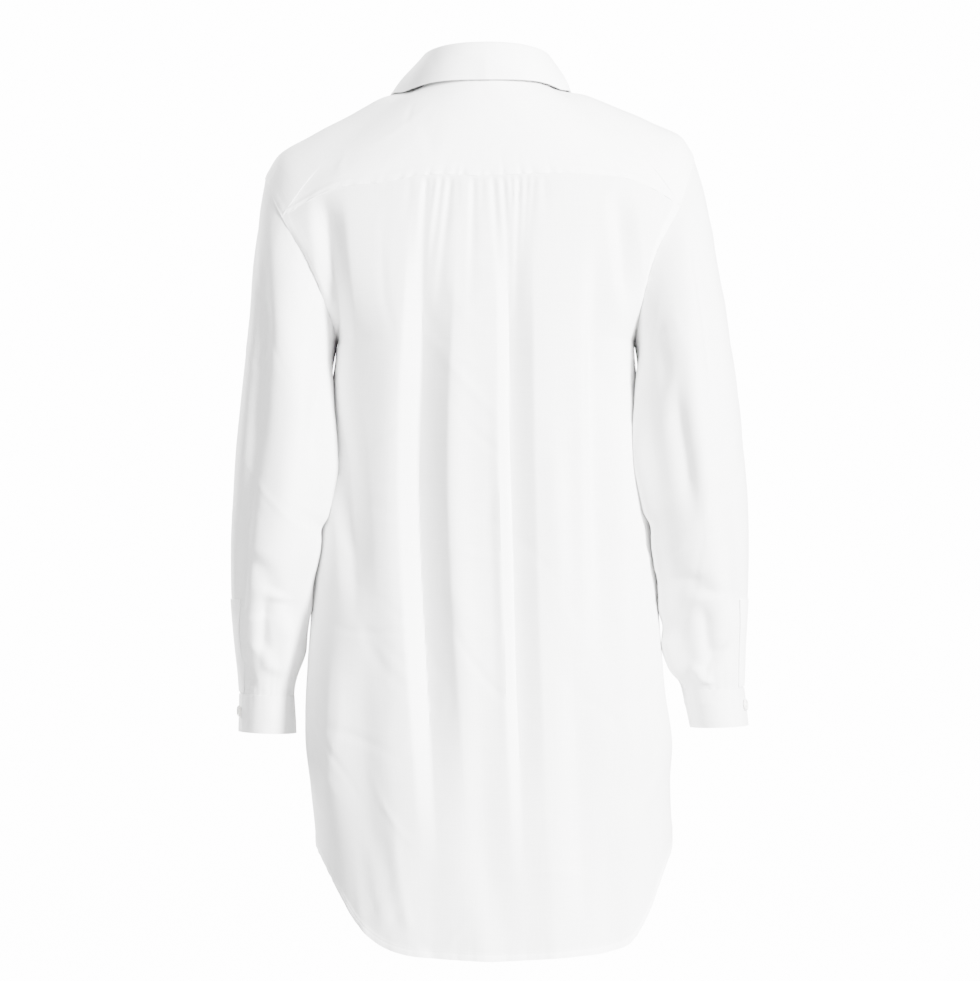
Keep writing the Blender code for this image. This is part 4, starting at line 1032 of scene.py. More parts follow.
for side, word, seam in ((LEFT, "left", yoke_top[:, -1]), (RIGHT, "right", yoke_top[:, 0])):
    front = front_surface(side, seam, yoke_rows)
    x, drop = np.abs(front[..., 0]) / MM, -front[..., 2] / MM
    across, down = lengths(front, 1), lengths(front, 0)
    from_side = across[:, -1:] - across
    height = long_folds(FRONT_FOLDS, x + (FRONT_MIRROR_SHIFT if side == RIGHT else 0.0), drop)
    height += worn_creases(across, down, *FRONT_CREASES, seed=30 + side)
    height *= ease(across / PLACKET_MARGIN) * ease(from_side / SEAM_MARGIN)
    height *= ease(down / FRONT_TOP_MARGIN)
    edges, doubled = panel_edges(front, across, down, from_side, FRONT_HEM_PUCKER, 32)
    height += edges + puckers(across, down, SEAM_PUCKER, 34)
    front, normals = shaped(front, -side, height)
    sew(f"front_{word}", front, normals, (0.27, 0.82), area=0.17,
        beads=panel_stitches(front, normals, "end"), layers=doubled)

# %% [markdown]
# ## The front bands
#
# A folded band runs down each front edge. The buttons sit on the left one; the right one has the
# buttonholes and laps over it. Each band is stitched close to both its edges.

# %% Build the front bands
PLACKET_FREE_EDGE = 13.0
PLACKET_TOP_CUT = 0.7
PLACKET_PITCH = 3.0
PLACKET_STEPS = (0.0, 0.8, 1.6, 2.4)
BAND_LIFT = 1.8
BAND_THICKNESS = 1.0
BAND_PUCKER = 0.25
BAND_CREASES = (30, 0.25)
BAND_RELIEF = 0.35
EDGE_STITCH = 1.6
FIRST_BUTTON_DROP = 92.0
BUTTON_PITCH = 84.0
FRONT_BUTTONS = 7


def placket_surface(x_low, x_high, lift):
    """A strip down the centre front, from the neckline to the hem."""
    width = abs(x_high - x_low)
    xs = x_low + (x_high - x_low) * stations(width, PLACKET_PITCH, PLACKET_STEPS, PLACKET_STEPS)
    angle = 180 - np.degrees(np.arcsin(np.abs(xs) / NECK_HALF_WIDTH))
    top = follow(NECK_DROP, "angle", angle, "drop")[0] + lift * PLACKET_TOP_CUT
    hem = float(tail_drop(0.0, FRONT))
    share = stations(hem, ROW_PITCH, foot=HEM_STEPS)[:, None]
    grid = front_strip(xs + np.zeros_like(share), top + (hem - top) * share)
    return grid + grid_normals(grid, 1) * lift * MM


for name, x_high, lift in (
    ("placket_buttons", -PLACKET_FREE_EDGE, 0.0),
    ("placket_buttonholes", -PLACKET_HALF_WIDTH, BAND_LIFT),
):
    band = placket_surface(PLACKET_HALF_WIDTH, x_high, lift)
    across, down = lengths(band, 1), lengths(band, 0)
    height = puckers(across, down, BAND_PUCKER, 41)
    height += puckers(across[:, -1:] - across, down, BAND_PUCKER, 42)
    height += worn_creases(across, down, *BAND_CREASES, seed=43, spread=0.5, lean=1.5)
    band, normals = shaped(band, 1, np.clip(height, -BAND_RELIEF, BAND_RELIEF))
    beads = edge_stitches(band, normals, ("start", "end"), (EDGE_STITCH,))
    beads += edge_stitches(band, normals, ("foot",), (HEM_STITCH,))
    if name == "placket_buttonholes":
        middle = band.shape[1] // 2
        for i in range(FRONT_BUTTONS):
            drop = FIRST_BUTTON_DROP + BUTTON_PITCH * i
            row = np.interp(drop, -band[:, middle, 2] / MM, np.arange(len(band)))
            beads += buttonhole(band, normals, row, float(middle), upright=True)
    flat = (abs(x_high - PLACKET_HALF_WIDTH) * MM, 0.80)
    sew(name, band, normals, flat, beads=beads,
        thickness=BAND_THICKNESS, layers=1.0)

# %% [markdown]
# ## The collar
#
# A shirt collar is two pieces: a stand that closes round the neck, and a fall that is sewn to
# the stand's top edge, folds over it and lies on the shoulders. The roll of the fold is soft,
# because the cloth there is several layers thick.

# %% Build the collar
STAND_HEIGHT = 26.0
STAND_LEAN = 2.0
STAND_FOOT = 0.35
STAND_OVERLAP_ANGLE = 190.0
FALL_HALF_ANGLE = 176.0
SOLID_CLOTH = 1.4
COLLAR_THICKNESS = 1.3
COLLAR_STITCH = 5.0
COLLAR_GROOVE = 1.2
COLLAR_CREASES = (16, 0.35)
COLLAR_ROLL, COLLAR_MARGIN = 12.0, 8.0
COLLAR_PUCKER = 0.3
COLLAR_EDGE_STEPS = (0.0, 1.0, 2.2, 3.6, 5.0, 6.4)
COLLAR_PITCH = 2.4
FALL_LENGTH = 40.0
FALL_PITCH_ANGLE = 2.0
STAND_PITCH_ANGLE = 2.6
STAND_STEPS = (0.0, 0.8, 1.6)
FALL_END_STEPS = (0.0, 1.2, 2.6, 4.0)
ROLL_ROWS = 21
DOUBLED_STITCH = 2.0

# The collar's outer edge, from centre back to the collar point.
COLLAR_EDGE = {
    LEFT: table(
        "angle x y drop",
        (0, 0, 70, -10.5), (30, 36, 63.5, -10.2), (50, 60, 48.5, -8), (70, 82, 24, -2.5),
        (90, 96, -6, -0.5), (120, 92, -56, 30), (150, 66, -84, 56), (176, 37, -94, 77),
    ),
    RIGHT: table(
        "angle x y drop",
        (0, 0, 70, -10.5), (30, 35, 63.5, -10.6), (50, 57, 48.5, -9.4), (70, 75, 24, -4.5),
        (90, 86, -6, -2.5), (120, 84, -54, 28), (150, 63, -82, 55), (176, 37, -92, 77),
    ),
}

# The fold of the collar over its stand: steps out from the stand's inner face, and up.
COLLAR_FOLD = table(
    "step out up", (0, 0, 0.45), (1, 0, 3.5), (2, 1.0, 5.6), (3, 3.2, 6.4), (4, 5.6, 4.4)
)
COLLAR_FALL_STEPS = (0.25, 0.5, 0.75, 1.0)
COLLAR_SPREAD = 2.5


def stand_point(angle, up, proud):
    """The collar stand, a strip that stands on the neckline and laps at the centre front."""
    folded = angle - 360 * np.round(angle / 360)
    turn = np.radians(folded)
    lean = (proud - STAND_LEAN * up / STAND_HEIGHT) * MM
    base = neckline(folded)
    outward = np.stack((np.sin(turn), np.cos(turn), np.zeros_like(turn)), axis=-1)
    return base + outward * lean[..., None] + np.stack((0 * up, 0 * up, up * MM), axis=-1)


def lap_step(share):
    """How far a wound strip stands off its middle line, so that its lapped ends clear."""
    return 1.0 - 2.0 * share


def through(stack, places):
    """Points on smooth curves through a stack of lines, at places counted in lines."""
    keys = {"line": np.arange(len(stack), dtype=float)}
    flat = stack.reshape(len(stack), -1)
    for k in range(flat.shape[1]):
        keys[k] = flat[:, k]
    curves = follow(keys, "line", places, *range(flat.shape[1]))
    return np.stack(curves, axis=1).reshape(len(places), *stack.shape[1:])


share = stations(2 * STAND_OVERLAP_ANGLE, STAND_PITCH_ANGLE, STAND_STEPS, STAND_STEPS)
angle = (2 * share - 1) * STAND_OVERLAP_ANGLE
up = STAND_FOOT + (STAND_HEIGHT - STAND_FOOT) * (1 - stations(STAND_HEIGHT, COLLAR_PITCH))
angles, ups = np.broadcast_arrays(angle[None], up[:, None])
stand = stand_point(angles, ups, lap_step(share)[None] + 0 * ups)
normals = grid_normals(stand, 1)
beads = edge_stitches(stand, normals, ("foot", "start", "end"), (DOUBLED_STITCH,))
column = np.interp(-180.0, angle, np.arange(len(angle)))
beads += buttonhole(stand, normals, len(up) / 2, column, upright=False)
sew("collar_stand", stand, normals, (0.43, 0.026), beads=beads,
    thickness=COLLAR_THICKNESS, layers=1.0)

angle = 2 * stations(2 * FALL_HALF_ANGLE, FALL_PITCH_ANGLE, FALL_END_STEPS, FALL_END_STEPS) - 1
angle *= FALL_HALF_ANGLE
turn = np.radians(angle)
outward = np.stack((np.sin(turn), np.cos(turn), 0 * turn), axis=-1)
share = (angle + STAND_OVERLAP_ANGLE) / (2 * STAND_OVERLAP_ANGLE)
foot = stand_point(angle, STAND_HEIGHT + 0 * angle, lap_step(share)) - outward * SOLID_CLOTH * MM
lines = []
for out, rise in zip(COLLAR_FOLD["out"], COLLAR_FOLD["up"]):
    lines.append(foot + outward * out * MM + np.array((0, 0, rise * MM)))
edges = []
for side, own in ((RIGHT, angle[angle <= 0]), (LEFT, angle[angle > 0])):
    x, y, drop = follow(COLLAR_EDGE[side], "angle", np.abs(own), "x", "y", "drop")
    edges.append(point(side * x, y, drop))
edge = np.concatenate(edges)
crest = lines[-1]
for step in COLLAR_FALL_STEPS:
    spread = outward * COLLAR_SPREAD * math.sin(math.pi * step) * MM
    lines.append(crest * (1 - step) + edge * step + spread)
rolled = np.linspace(0, 5, ROLL_ROWS)
fallen = 5 + 3 * stations(FALL_LENGTH, COLLAR_PITCH, foot=COLLAR_EDGE_STEPS)[1:]
fall = through(np.array(lines), np.concatenate((rolled, fallen)))
across, down = lengths(fall, 1), lengths(fall, 0)
from_edge = down[-1:] - down
run = across[-1:] + np.zeros_like(across)
height = worn_creases(run, down, *COLLAR_CREASES, seed=51)
height *= ease(from_edge / COLLAR_MARGIN) * ease((down - COLLAR_ROLL) / COLLAR_MARGIN)
height -= GROOVE_DEPTH * np.exp(-((from_edge - COLLAR_STITCH) / COLLAR_GROOVE) ** 2)
height += puckers(from_edge, run, COLLAR_PUCKER, 52)
fall, normals = shaped(fall, 1, height)
beads = edge_stitches(fall, normals, ("foot",), (COLLAR_STITCH,))
beads += edge_stitches(fall, normals, ("start", "end"), (COLLAR_STITCH,), slice(ROLL_ROWS - 1, None))
sew("collar_fall", fall, normals, (0.46, 0.08), area=0.031,
    beads=beads, thickness=COLLAR_THICKNESS, layers=1.0)

# %% [markdown]
# ## The sleeves
#
# Each sleeve is one piece sewn into a tube and set into the armhole. It hangs from the shoulder,
# bends at the elbow, where the cloth creases across, and swells a little over the cuff. The left
# and right sleeves differ, because the two arms are held differently.

# %% Build the sleeves
# Each sleeve, ring by ring: its outer and inner line as seen from behind, and its depth.
SLEEVE_COLUMNS = "ring out out_drop in in_drop y half_depth"
SLEEVES = {
    LEFT: table(
        SLEEVE_COLUMNS,
        (0, 221, 83, 148, 246, -2, 74), (1, 226, 115, 150.5, 262, 6, 72),
        (2, 230, 150, 153, 277, 13, 70), (3, 233.5, 190, 155, 295, 20, 68),
        (4, 236, 232, 156.5, 317, 25, 66), (5, 240.5, 275, 157.5, 343, 28, 64),
        (6, 245, 318, 159.5, 373, 30, 61), (7, 249, 360, 162.5, 403, 30, 59),
        (8, 251.5, 402, 167, 434, 28, 57), (9, 254, 444, 173.4, 466, 23, 54),
        (10, 254.5, 480, 181, 494, 15, 51), (11, 254, 505, 185, 514, 8, 49),
        (12, 252.5, 528, 186, 534, 2, 47.5), (13, 250.5, 552, 187, 554, -4, 46.5),
        (14, 248, 576, 190, 577, -9, 45), (15, 246.5, 598, 192, 600, -12, 42.5),
    ),
    RIGHT: table(
        SLEEVE_COLUMNS,
        (0, 208, 62, 147, 246, -2, 74), (1, 217.5, 95, 149.5, 260, 6, 72),
        (2, 224, 130, 151, 273, 13, 70), (3, 231, 172, 152, 290, 20, 68),
        (4, 239, 218, 153, 311, 25, 66), (5, 246, 264, 154.6, 336, 28, 64),
        (6, 252, 310, 157.9, 366, 30, 61), (7, 256, 354, 162, 397, 30, 59),
        (8, 260, 400, 166.5, 430, 28, 57), (9, 261.5, 444, 173, 464, 23, 54),
        (10, 261.5, 480, 180, 492, 15, 51), (11, 261, 505, 183.5, 513, 8, 49),
        (12, 260, 528, 186, 534, 2, 47.5), (13, 259, 552, 188, 554, -4, 46.5),
        (14, 258.5, 576, 191, 577, -9, 45), (15, 258, 592, 196, 594, -12, 42.5),
    ),
}
ARMHOLE_SHARE = table("ring share", (0, 1), (1, 0.62), (2, 0.34), (3, 0.14), (4, 0.04), (5, 0))

# The cuff's outer and inner line, at its seam and at its free edge.
CUFFS = {
    LEFT: table("row out in y half_depth", (0, 246.5, 192, -12, 42.5), (1, 247.5, 190, -15, 43.5)),
    RIGHT: table("row out in y half_depth", (0, 258, 196, -12, 42.5), (1, 262.5, 205, -15, 43.5)),
}

SLEEVE_FOLD_COLUMNS = "ring_a ring_b angle_a angle_b plus_width minus_width height"
SLEEVE_FOLDS = {
    LEFT: table(
        SLEEVE_FOLD_COLUMNS,
        (1.2, 8.4, 40, 56, 22, 12, -7.0), (2.6, 9.2, 112, 104, 16, 18, 5.1),
        (6.4, 12.4, 52, 40, 14, 16, -6.1), (7.5, 9.2, 150, 250, 30, 30, -5.8),
        (8.6, 10.4, 200, 290, 28, 28, -5.8), (2.0, 7.0, 290, 280, 15, 15, -5.8),
        (9.8, 14.0, 96, 80, 14, 10, -5.2), (11.0, 14.6, 132, 122, 12, 14, 5.5),
        (11.0, 14.4, 250, 258, 15, 15, -5.1), (9.0, 10.6, 60, 120, 24, 24, -3.8),
        (10.4, 11.8, 130, 70, 22, 22, -3.2), (12.6, 14.2, 70, 112, 16, 16, 3.8),
        (3.0, 6.4, 140, 132, 10, 12, -3.5), (13.2, 14.8, 40, 60, 12, 12, -3.8),
        (3.0, 12.8, 163, 158, 18, 16, 9.5), (9.2, 14.8, 168, 170, 22, 22, 8.5),
        (1.0, 8.5, 162, 160, 14, 14, 6.5),
    ),
    RIGHT: table(
        SLEEVE_FOLD_COLUMNS,
        (0.6, 6.4, 46, 62, 8, 14, -6.7), (4.2, 8.4, 108, 100, 12, 10, -5.8),
        (2.6, 9.0, 84, 86, 14, 12, 4.6), (7.4, 12.2, 62, 50, 12, 15, -5.8),
        (7.5, 9.4, 150, 250, 30, 30, -5.8), (8.8, 10.6, 200, 290, 28, 28, -5.8),
        (2.0, 7.5, 286, 278, 15, 15, -5.8), (10.6, 14.0, 104, 92, 12, 15, -5.8),
        (11.6, 14.8, 162, 148, 18, 16, 7.8), (11.0, 14.4, 250, 256, 15, 15, -5.1),
        (9.4, 10.8, 130, 80, 22, 22, -4.1), (12.6, 14.4, 60, 120, 14, 14, -4.1),
        (13.4, 14.8, 126, 96, 12, 12, 4.1), (1.4, 4.6, 122, 116, 10, 12, -3.2),
        (3.0, 12.8, 163, 158, 18, 16, 9.5), (9.2, 14.8, 168, 170, 22, 22, 8.5),
        (1.0, 8.5, 162, 160, 14, 14, 6.5),
    ),
}
SLEEVE_FADE = 0.35
LAST_RING = 15
RING_LENGTH = 36.0
SLEEVE_PITCH = 3.3
SLEEVE_PITCH_ANGLE = 3.2
SLEEVE_TOP_STEPS = (0.0, 1.2, 2.4)
SLEEVE_FOOT_STEPS = (0.0, 1.0, 2.0, 3.2)
SLEEVE_GIRTH = 330.0
SLEEVE_SINK = 0.35
SLEEVE_SINK_LENGTH = 60.0
SLEEVE_CREASES = (60, 0.9)
SLEEVE_TOP_MARGIN, SLEEVE_TOP_PUCKER = 12.0, 0.7
SLEEVE_FOOT_MARGIN, SLEEVE_FOOT_PUCKER = 8.0, 1.4


def oval(outer, inner, half_depth, angle):
    """The rounded section between an outer and an inner line."""
    turn = np.radians(angle)
    spot = (outer + inner) / 2 + np.cos(turn)[..., None] * (outer - inner) / 2
    return spot + point(0, np.sin(turn) * half_depth, 0)


def sleeve_ring(side, ring, angle):
    """The rounded section of a sleeve, without its folds."""
    names = ("out", "out_drop", "in", "in_drop", "y", "half_depth")
    out, out_drop, inside, in_drop, y, half_depth = follow(SLEEVES[side], "ring", ring, *names)
    outer, inner = point(side * out, y, out_drop), point(side * inside, y, in_drop)
    return oval(outer, inner, half_depth, angle)


def sleeve_point(side, ring, angle):
    """The sleeve leaves the armhole seam and turns into rounded rings further down."""
    ring, angle = np.broadcast_arrays(np.asarray(ring, float), np.asarray(angle, float))
    (share,) = follow(ARMHOLE_SHARE, "ring", ring, "share")
    head = armhole(side, angle) - sleeve_ring(side, 0 * ring, angle)
    return sleeve_ring(side, ring, angle) + head * share[..., None]


def sleeve_folds(side, ring, angle):
    height = np.zeros(np.broadcast(ring, angle).shape)
    for fold in each(SLEEVE_FOLDS[side]):
        along = (ring - fold.ring_a) / (fold.ring_b - fold.ring_a)
        centre = fold.angle_a + (fold.angle_b - fold.angle_a) * along
        away = (angle - centre + 180) % 360 - 180
        away = away / np.where(away > 0, fold.plus_width, fold.minus_width)
        fade = ease(along / SLEEVE_FADE) * ease((1 - along) / SLEEVE_FADE)
        height = height + fold.height * fade * np.exp(-away * away)
    return height


for side, word in ((LEFT, "left"), (RIGHT, "right")):
    ring = stations(LAST_RING * RING_LENGTH, SLEEVE_PITCH, SLEEVE_TOP_STEPS, SLEEVE_FOOT_STEPS)
    ring = LAST_RING * ring[:, None]
    angle = np.arange(0, 360, SLEEVE_PITCH_ANGLE)[None]
    sleeve = sleeve_point(side, ring, angle)
    down = lengths(sleeve, 0)
    from_cuff = down[-1:] - down
    around = angle / 360 * SLEEVE_GIRTH + 0 * down
    height = sleeve_folds(side, ring, angle)
    height += worn_creases(around, down, *SLEEVE_CREASES, seed=60 + side, girth=SLEEVE_GIRTH)
    height *= ease(down / SLEEVE_TOP_MARGIN) * ease(from_cuff / SLEEVE_FOOT_MARGIN)
    height += puckers(down, around, SLEEVE_TOP_PUCKER, 62 + side)
    height += puckers(from_cuff, around, SLEEVE_FOOT_PUCKER, 65 + side)
    height -= SLEEVE_SINK * (1 - ease(down / SLEEVE_SINK_LENGTH))
    sleeve, normals = shaped(sleeve, -side, height, closed=True)
    sew(f"sleeve_{word}", sleeve, normals, (0.40, 0.56),
        area=0.15, closed=True)

# %% [markdown]
# ## Sleeve slits and cuffs
#
# A slit above the cuff lets the hand through. Its edge is bound by a narrow strip that ends in a
# stitched box with a small cross. The cuff is a doubled strip wound once round the wrist; its
# lapped ends are held by a button.

# %% Build the slits and the cuffs
CUFF_DEPTH = 38.0
CUFF_SPLIT_ANGLE = 8.0
CUFF_LAP_ANGLE = 34.0
CUFF_BUTTON_ANGLE = 24.0
CUFF_BUTTON_ROW = 0.45
CUFF_THICKNESS = 1.2
CUFF_PITCH = 2.4
CUFF_PITCH_ANGLE = 2.8
CUFF_END_STEPS = (0.0, 1.0, 2.2, 3.6)
CUFF_EDGE_STEPS = (0.0, 1.0, 2.0, 3.0)
CUFF_TOP_PUCKER, CUFF_FOOT_PUCKER = 0.6, 0.4
CUFF_CREASES = (20, 0.8)
CUFF_RELIEF = 0.6
CUFF_MARGIN = 4.0
SLIT_TOP = 10.9
SLIT_FOOT = 14.9
SLIT_ROWS, SLIT_COLUMNS = 54, 11
SLIT_HALF_ANGLE = 14.0
SLIT_LIFT = 1.3
SLIT_THICKNESS = 1.0
BOX_HEIGHT = 22.0


def cuff_point(side, row, angle, proud):
    """The cuff is a strip wound once round the wrist, its ends lapped over each other."""
    out, inside, y, half_depth = follow(CUFFS[side], "row", row, "out", "in", "y", "half_depth")
    outer = point(side * out, y, SLEEVES[side]["out_drop"][-1] + row * CUFF_DEPTH)
    inner = point(side * inside, y, SLEEVES[side]["in_drop"][-1] + row * CUFF_DEPTH)
    spot = oval(outer, inner, half_depth, angle)
    away = (spot - (outer + inner) / 2) * (1, 1, 0)
    away /= np.linalg.norm(away, axis=-1, keepdims=True)
    return spot + away * np.asarray(proud)[..., None] * MM


for side, word in ((LEFT, "left"), (RIGHT, "right")):
    share = stations(360 + CUFF_LAP_ANGLE, CUFF_PITCH_ANGLE, CUFF_END_STEPS, CUFF_END_STEPS)
    angle = CUFF_SPLIT_ANGLE + (360 + CUFF_LAP_ANGLE) * share
    row = stations(CUFF_DEPTH, CUFF_PITCH, CUFF_EDGE_STEPS, CUFF_EDGE_STEPS)
    rows, angles = np.broadcast_arrays(row[:, None], angle[None])
    cuff = cuff_point(side, rows, angles, lap_step(share)[None] + 0 * rows)
    across, down = lengths(cuff, 1), lengths(cuff, 0)
    height = puckers(down, across, CUFF_TOP_PUCKER, 70 + side)
    height += puckers(down[-1:] - down, across, CUFF_FOOT_PUCKER, 72 + side)
    height += worn_creases(across, down, *CUFF_CREASES, seed=74 + side)
    from_end = np.minimum(across, across[:, -1:] - across)
    height = np.clip(height, -CUFF_RELIEF, CUFF_RELIEF) * ease(from_end / CUFF_MARGIN)
    cuff, normals = shaped(cuff, -side, height)
    beads = edge_stitches(cuff, normals, ("head", "foot", "start", "end"), (DOUBLED_STITCH,))
    column = np.interp(CUFF_BUTTON_ANGLE, angle, np.arange(len(angle)))
    beads += buttonhole(cuff, normals, CUFF_BUTTON_ROW * (len(row) - 1), column, upright=False)
    sew(f"cuff_{word}", cuff, normals, (0.275, 0.038),
        beads=beads, thickness=CUFF_THICKNESS)

    ring = np.linspace(SLIT_TOP, SLIT_FOOT, SLIT_ROWS)[:, None]
    angle = CUFF_BUTTON_ANGLE + SLIT_HALF_ANGLE * np.linspace(-1, 1, SLIT_COLUMNS)[None]
    slit = sleeve_point(side, ring, angle)
    slit, normals = shaped(slit, -side, sleeve_folds(side, ring, angle) + SLIT_LIFT)
    beads = edge_stitches(slit, normals, ("head", "start", "end"), (EDGE_STITCH,))
    beads += edge_stitches(slit, normals, ("head",), (BOX_HEIGHT,))
    box = np.interp(BOX_HEIGHT, lengths(slit, 0)[:, 0], np.arange(len(slit)))
    last = slit.shape[1] - 1.0
    beads.append(stitched_line(slit, normals, (0.5, 1.0), (box, last - 1.0)))
    beads.append(stitched_line(slit, normals, (0.5, last - 1.0), (box, 1.0)))
    sew(f"sleeve_placket_{word}", slit, normals, (0.019, 0.145),
        beads=beads, thickness=SLIT_THICKNESS, layers=1.0)

# %% [markdown]
# ## Buttons
#
# A shirt button is turned from a blank: a flat disc with a raised rim and four drilled holes.
# The holes are cut out here as they are on the real button, and two bars of thread hold it.

# %% Build the buttons
BUTTON_RADIUS = 5.6
BUTTON_THICKNESS = 2.4
BUTTON_GAP = 0.3
HOLE_RADIUS = 0.75
HOLE_SPACING = 1.25
HOLE_SIDES = 16
BUTTON_SIDES = 48
BUTTON_SHARP_ANGLE = 35.0
STRAND_PLACE = 0.28
STRAND_RADIUS = 0.26
STRAND_SIDES, STRAND_RINGS = 6, 9
STRAND_RISE, STRAND_DIP = 0.35, 0.9
BUTTON_SECTION = table(
    "radius height", (0.0, 0.0), (0.86, 0.0), (0.96, 0.15), (1.0, 0.5), (0.98, 0.82), (0.92, 0.97),
    (0.84, 1.0), (0.76, 0.93), (0.68, 0.76), (0.6, 0.68), (0.0, 0.66),
)


def ring_faces(first, rings, sides):
    """Four-sided faces between rings of points that follow each other."""
    faces = []
    for low in range(first, first + (rings - 1) * sides, sides):
        for k in range(sides):
            after = (k + 1) % sides
            faces.append((low + k, low + after, low + sides + after, low + sides + k))
    return faces


def circle(sides):
    """Angles at equal steps round an axis."""
    return np.arange(sides) * 2 * math.pi / sides


def disc_mesh(name, section, sides):
    """A turned solid: the section goes once round the axis."""
    radii, heights = section["radius"] * BUTTON_RADIUS * MM, section["height"] * BUTTON_THICKNESS * MM
    points = [(0.0, 0.0, heights[0])]
    for radius, height in zip(radii[1:-1], heights[1:-1]):
        points += [(radius * math.cos(t), radius * math.sin(t), height) for t in circle(sides)]
    points.append((0.0, 0.0, heights[-1]))
    last = len(points) - 1
    faces = ring_faces(1, len(radii) - 2, sides)
    for k in range(sides):
        after = (k + 1) % sides
        faces += [(0, 1 + after, 1 + k), (last, last - sides + k, last - sides + after)]
    mesh = bpy.data.meshes.new(name)
    mesh.from_pydata(points, [], faces)
    return mesh


def drilled(mesh):
    """The disc with its four holes cut out."""
    blank = put("blank", mesh)
    drills = []
    for across in (-HOLE_SPACING, HOLE_SPACING):
        for along in (-HOLE_SPACING, HOLE_SPACING):
            bpy.ops.mesh.primitive_cylinder_add(
                vertices=HOLE_SIDES, radius=HOLE_RADIUS * MM, depth=4 * BUTTON_THICKNESS * MM,
                location=(across * MM, along * MM, 0),
            )
            drills.append(bpy.context.object)
            cut = blank.modifiers.new("hole", "BOOLEAN")
            cut.operation, cut.object, cut.solver = "DIFFERENCE", drills[-1], "EXACT"
    graph = bpy.context.evaluated_depsgraph_get()
    done = bpy.data.meshes.new_from_object(blank.evaluated_get(graph))
    for helper in (*drills, blank):
        bpy.data.objects.remove(helper, do_unlink=True)
    done.name = "button_disc"
    done.materials.clear()
    done.materials.append(BUTTON)
    done.shade_smooth()
    done.set_sharp_from_angle(angle=math.radians(BUTTON_SHARP_ANGLE))
    return done


def button_thread_mesh():
    """Two bars of thread between the holes, each of two strands."""
    points, faces = [], []
    top = BUTTON_SECTION["height"][-1] * BUTTON_THICKNESS
    for across in (-HOLE_SPACING, HOLE_SPACING):
        for strand in (-STRAND_PLACE, STRAND_PLACE):
            faces += [face[::-1] for face in ring_faces(len(points), STRAND_RINGS, STRAND_SIDES)]
            for along in np.linspace(-1, 1, STRAND_RINGS):
                lift = top + STRAND_RISE * (1 - along ** 4) - STRAND_DIP * abs(along) ** 6
                for turn in circle(STRAND_SIDES):
                    points.append((
                        (across + strand + STRAND_RADIUS * math.cos(turn)) * MM,
                        along * HOLE_SPACING * MM,
                        (lift + STRAND_RADIUS * math.sin(turn)) * MM,
                    ))
    mesh = bpy.data.meshes.new("button_thread")
    mesh.from_pydata(points, [], faces)
    mesh.materials.append(THREAD)
    mesh.shade_smooth()
    return mesh


DISC = drilled(disc_mesh("button_blank", BUTTON_SECTION, BUTTON_SIDES))
BUTTON_THREAD = button_thread_mesh()
print("Button disc:", len(DISC.vertices), "points")


def place_button(node, seat, outward, turn):
    """Puts a button on the cloth, with its thread."""
    outward = Vector(outward).normalized()
    level = outward.cross(Vector((0, 0, 1))).normalized()
    axes = Matrix((level, outward.cross(level), outward)).transposed().to_4x4()
    seated = Matrix.Translation(Vector(seat) + outward * BUTTON_GAP * MM) @ axes
    seated = seated @ Matrix.Rotation(math.radians(turn), 4, "Z")
    for part, mesh in (("disc", DISC), ("thread", BUTTON_THREAD)):
        made = put(f"{node}_{part}", mesh)
        made.matrix_world = seated
        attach(made, "root")
        if mesh is DISC:
            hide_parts(node)


# %% Sew the buttons on
ROUND_SEAT_RISE = 0.6
BUTTON_TURNS = (-21.0, 14.0, 0.0, -14.0, 21.0, 7.0, -7.0)
COLLAR_BUTTON_TURN = 12.0
CUFF_BUTTON_TURN = -9.0
BESIDE_ANGLE = 3.0

for i in range(FRONT_BUTTONS):
    drop = FIRST_BUTTON_DROP + BUTTON_PITCH * i
    slope = front_strip(0.0, drop - BUTTON_RADIUS) - front_strip(0.0, drop + BUTTON_RADIUS)
    outward = np.cross((1.0, 0.0, 0.0), slope)
    outward *= -np.sign(outward[1]) / np.linalg.norm(outward)
    seat = front_strip(0.0, drop) + outward * BAND_LIFT * MM
    place_button(f"button_front_{i + 1}", seat, outward, BUTTON_TURNS[i])
stand_share = (STAND_OVERLAP_ANGLE - 180) / (2 * STAND_OVERLAP_ANGLE)
proud = np.array(lap_step(stand_share) + ROUND_SEAT_RISE)
seat = stand_point(np.array(180.0), np.array(STAND_HEIGHT / 2), proud)
place_button("button_collar", seat, (0.0, -STAND_HEIGHT, STAND_LEAN), COLLAR_BUTTON_TURN)
for side, word in ((LEFT, "left"), (RIGHT, "right")):
    angle = np.array(CUFF_BUTTON_ANGLE)
    proud = lap_step((CUFF_BUTTON_ANGLE - CUFF_SPLIT_ANGLE) / (360 + CUFF_LAP_ANGLE))
    seat = cuff_point(side, CUFF_BUTTON_ROW, angle, proud)
    beside = cuff_point(side, CUFF_BUTTON_ROW, angle + BESIDE_ANGLE, proud) - seat
    upright = cuff_point(side, 0.0, angle, proud) - seat
    outward = np.cross(upright, beside)
    outward *= np.sign(outward[0]) * side
    place_button(f"button_cuff_{word}", seat, outward, CUFF_BUTTON_TURN * side)
print("Buttons:", FRONT_BUTTONS + 3)

# %% [markdown]
# ## A soft white studio
#
# The photo was taken from behind the wearer, square on and from far away, in a white studio with
# the light a little stronger from the right. The floor and the wall are one round white sweep, so
# the shirt can be looked at from every side.

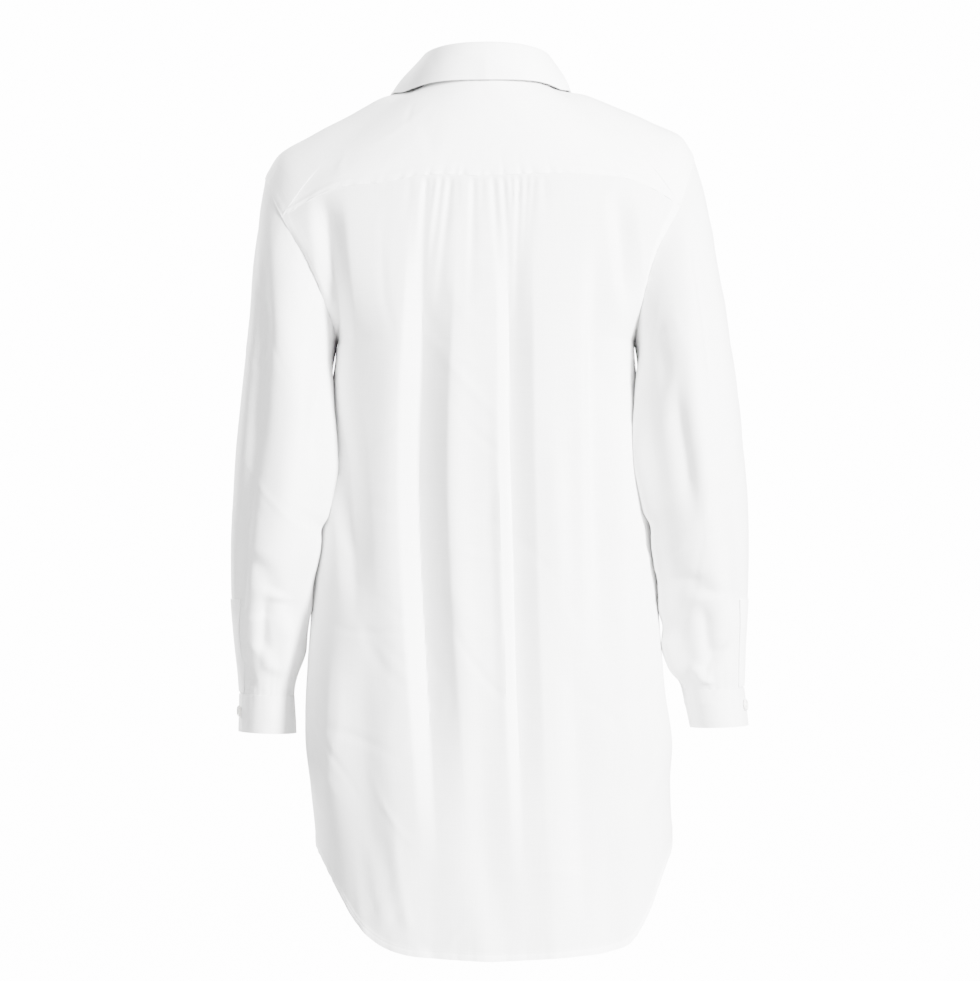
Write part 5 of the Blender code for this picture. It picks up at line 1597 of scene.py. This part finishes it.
# %% Floor, wall, light and camera
FLOOR_Z = -1.45
ROOM_RADIUS = 9.0
ROOM_HEIGHT = 7.0
SWEEP_RADIUS = 1.5
SWEEP_SIDES = 64
PAINT = (0.38, 0.38, 0.38, 1.0)
PAINT_ROUGHNESS = 0.95
PAINT_GLOW = 14.0
AIR_LIGHT = 1.8
LIGHT_TARGET = (0, 0, -0.4)
LIGHTS = {
    "key_light": ((-3.5, 3.7, 1.2), 1.2, 2550.0),
    "fill_light": ((3.4, 4.0, 0.2), 2.0, 110.0),
    "front_light": ((2.8, -3.6, 1.4), 2.0, 900.0),
}
PHOTO_SIDE = 981
METRES_PER_PIXEL = 0.001
CAMERA_DISTANCE = 5.0
CAMERA_X, CAMERA_Z = -0.004, -0.395
SENSOR = 36.0


def studio_sweep():
    """A round floor that turns up into a wall."""
    flat = ROOM_RADIUS - SWEEP_RADIUS
    section = [(flat, 0.0)]
    for turn in np.radians(np.linspace(10, 90, 9)):
        section.append((flat + SWEEP_RADIUS * math.sin(turn), SWEEP_RADIUS * (1 - math.cos(turn))))
    section.append((ROOM_RADIUS, ROOM_HEIGHT))
    points = []
    for radius, z in section:
        turns = circle(SWEEP_SIDES)
        points += [(radius * math.cos(t), radius * math.sin(t), FLOOR_Z + z) for t in turns]
    faces = [face[::-1] for face in ring_faces(0, len(section), SWEEP_SIDES)]
    faces += [(len(points), k, (k + 1) % SWEEP_SIDES) for k in range(SWEEP_SIDES)]
    mesh = bpy.data.meshes.new("studio_sweep")
    mesh.from_pydata([*points, (0.0, 0.0, FLOOR_Z)], [], faces)
    mesh.shade_smooth()
    material, tree, shader = new_material("studio_paint", PAINT, PAINT_ROUGHNESS)
    seen = add_node(tree, "ShaderNodeLightPath").outputs["Is Camera Ray"]
    glow = calculate(tree, "MULTIPLY", seen, PAINT_GLOW)
    feed(tree, shader, {"Emission Color": WHITE, "Emission Strength": glow})
    mesh.materials.append(material)
    return put("studio_sweep", mesh)


studio_sweep()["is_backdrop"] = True
for name, (place, width, power) in LIGHTS.items():
    light = bpy.data.lights.new(name, "AREA")
    light.shape, light.size, light.energy = "DISK", width, power
    lamp = put(name, light)
    lamp.location = place
    lamp.rotation_euler = (Vector(LIGHT_TARGET) - Vector(place)).to_track_quat("-Z", "Y").to_euler()
world = bpy.data.worlds.new("studio_air")
world.use_nodes = True
feed(world.node_tree, world.node_tree.nodes["Background"], {"Color": WHITE, "Strength": AIR_LIGHT})
bpy.context.scene.world = world

lens = bpy.data.cameras.new("photo_camera")
lens.sensor_width = SENSOR
lens.lens = SENSOR * CAMERA_DISTANCE / (PHOTO_SIDE * METRES_PER_PIXEL)
camera = put("photo_camera", lens)
camera.location = (CAMERA_X, CAMERA_DISTANCE, CAMERA_Z)
camera.rotation_euler = (math.radians(90), 0, math.radians(180))
bpy.context.scene.camera = camera
print("Camera", CAMERA_DISTANCE, "m behind the shirt, lens", round(lens.lens, 1), "mm")

# %% Measure the finished shirt
cloth_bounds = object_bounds()
size = cloth_bounds[1] - cloth_bounds[0]
print("Finished shirt:", [round(side, 3) for side in size], "m")
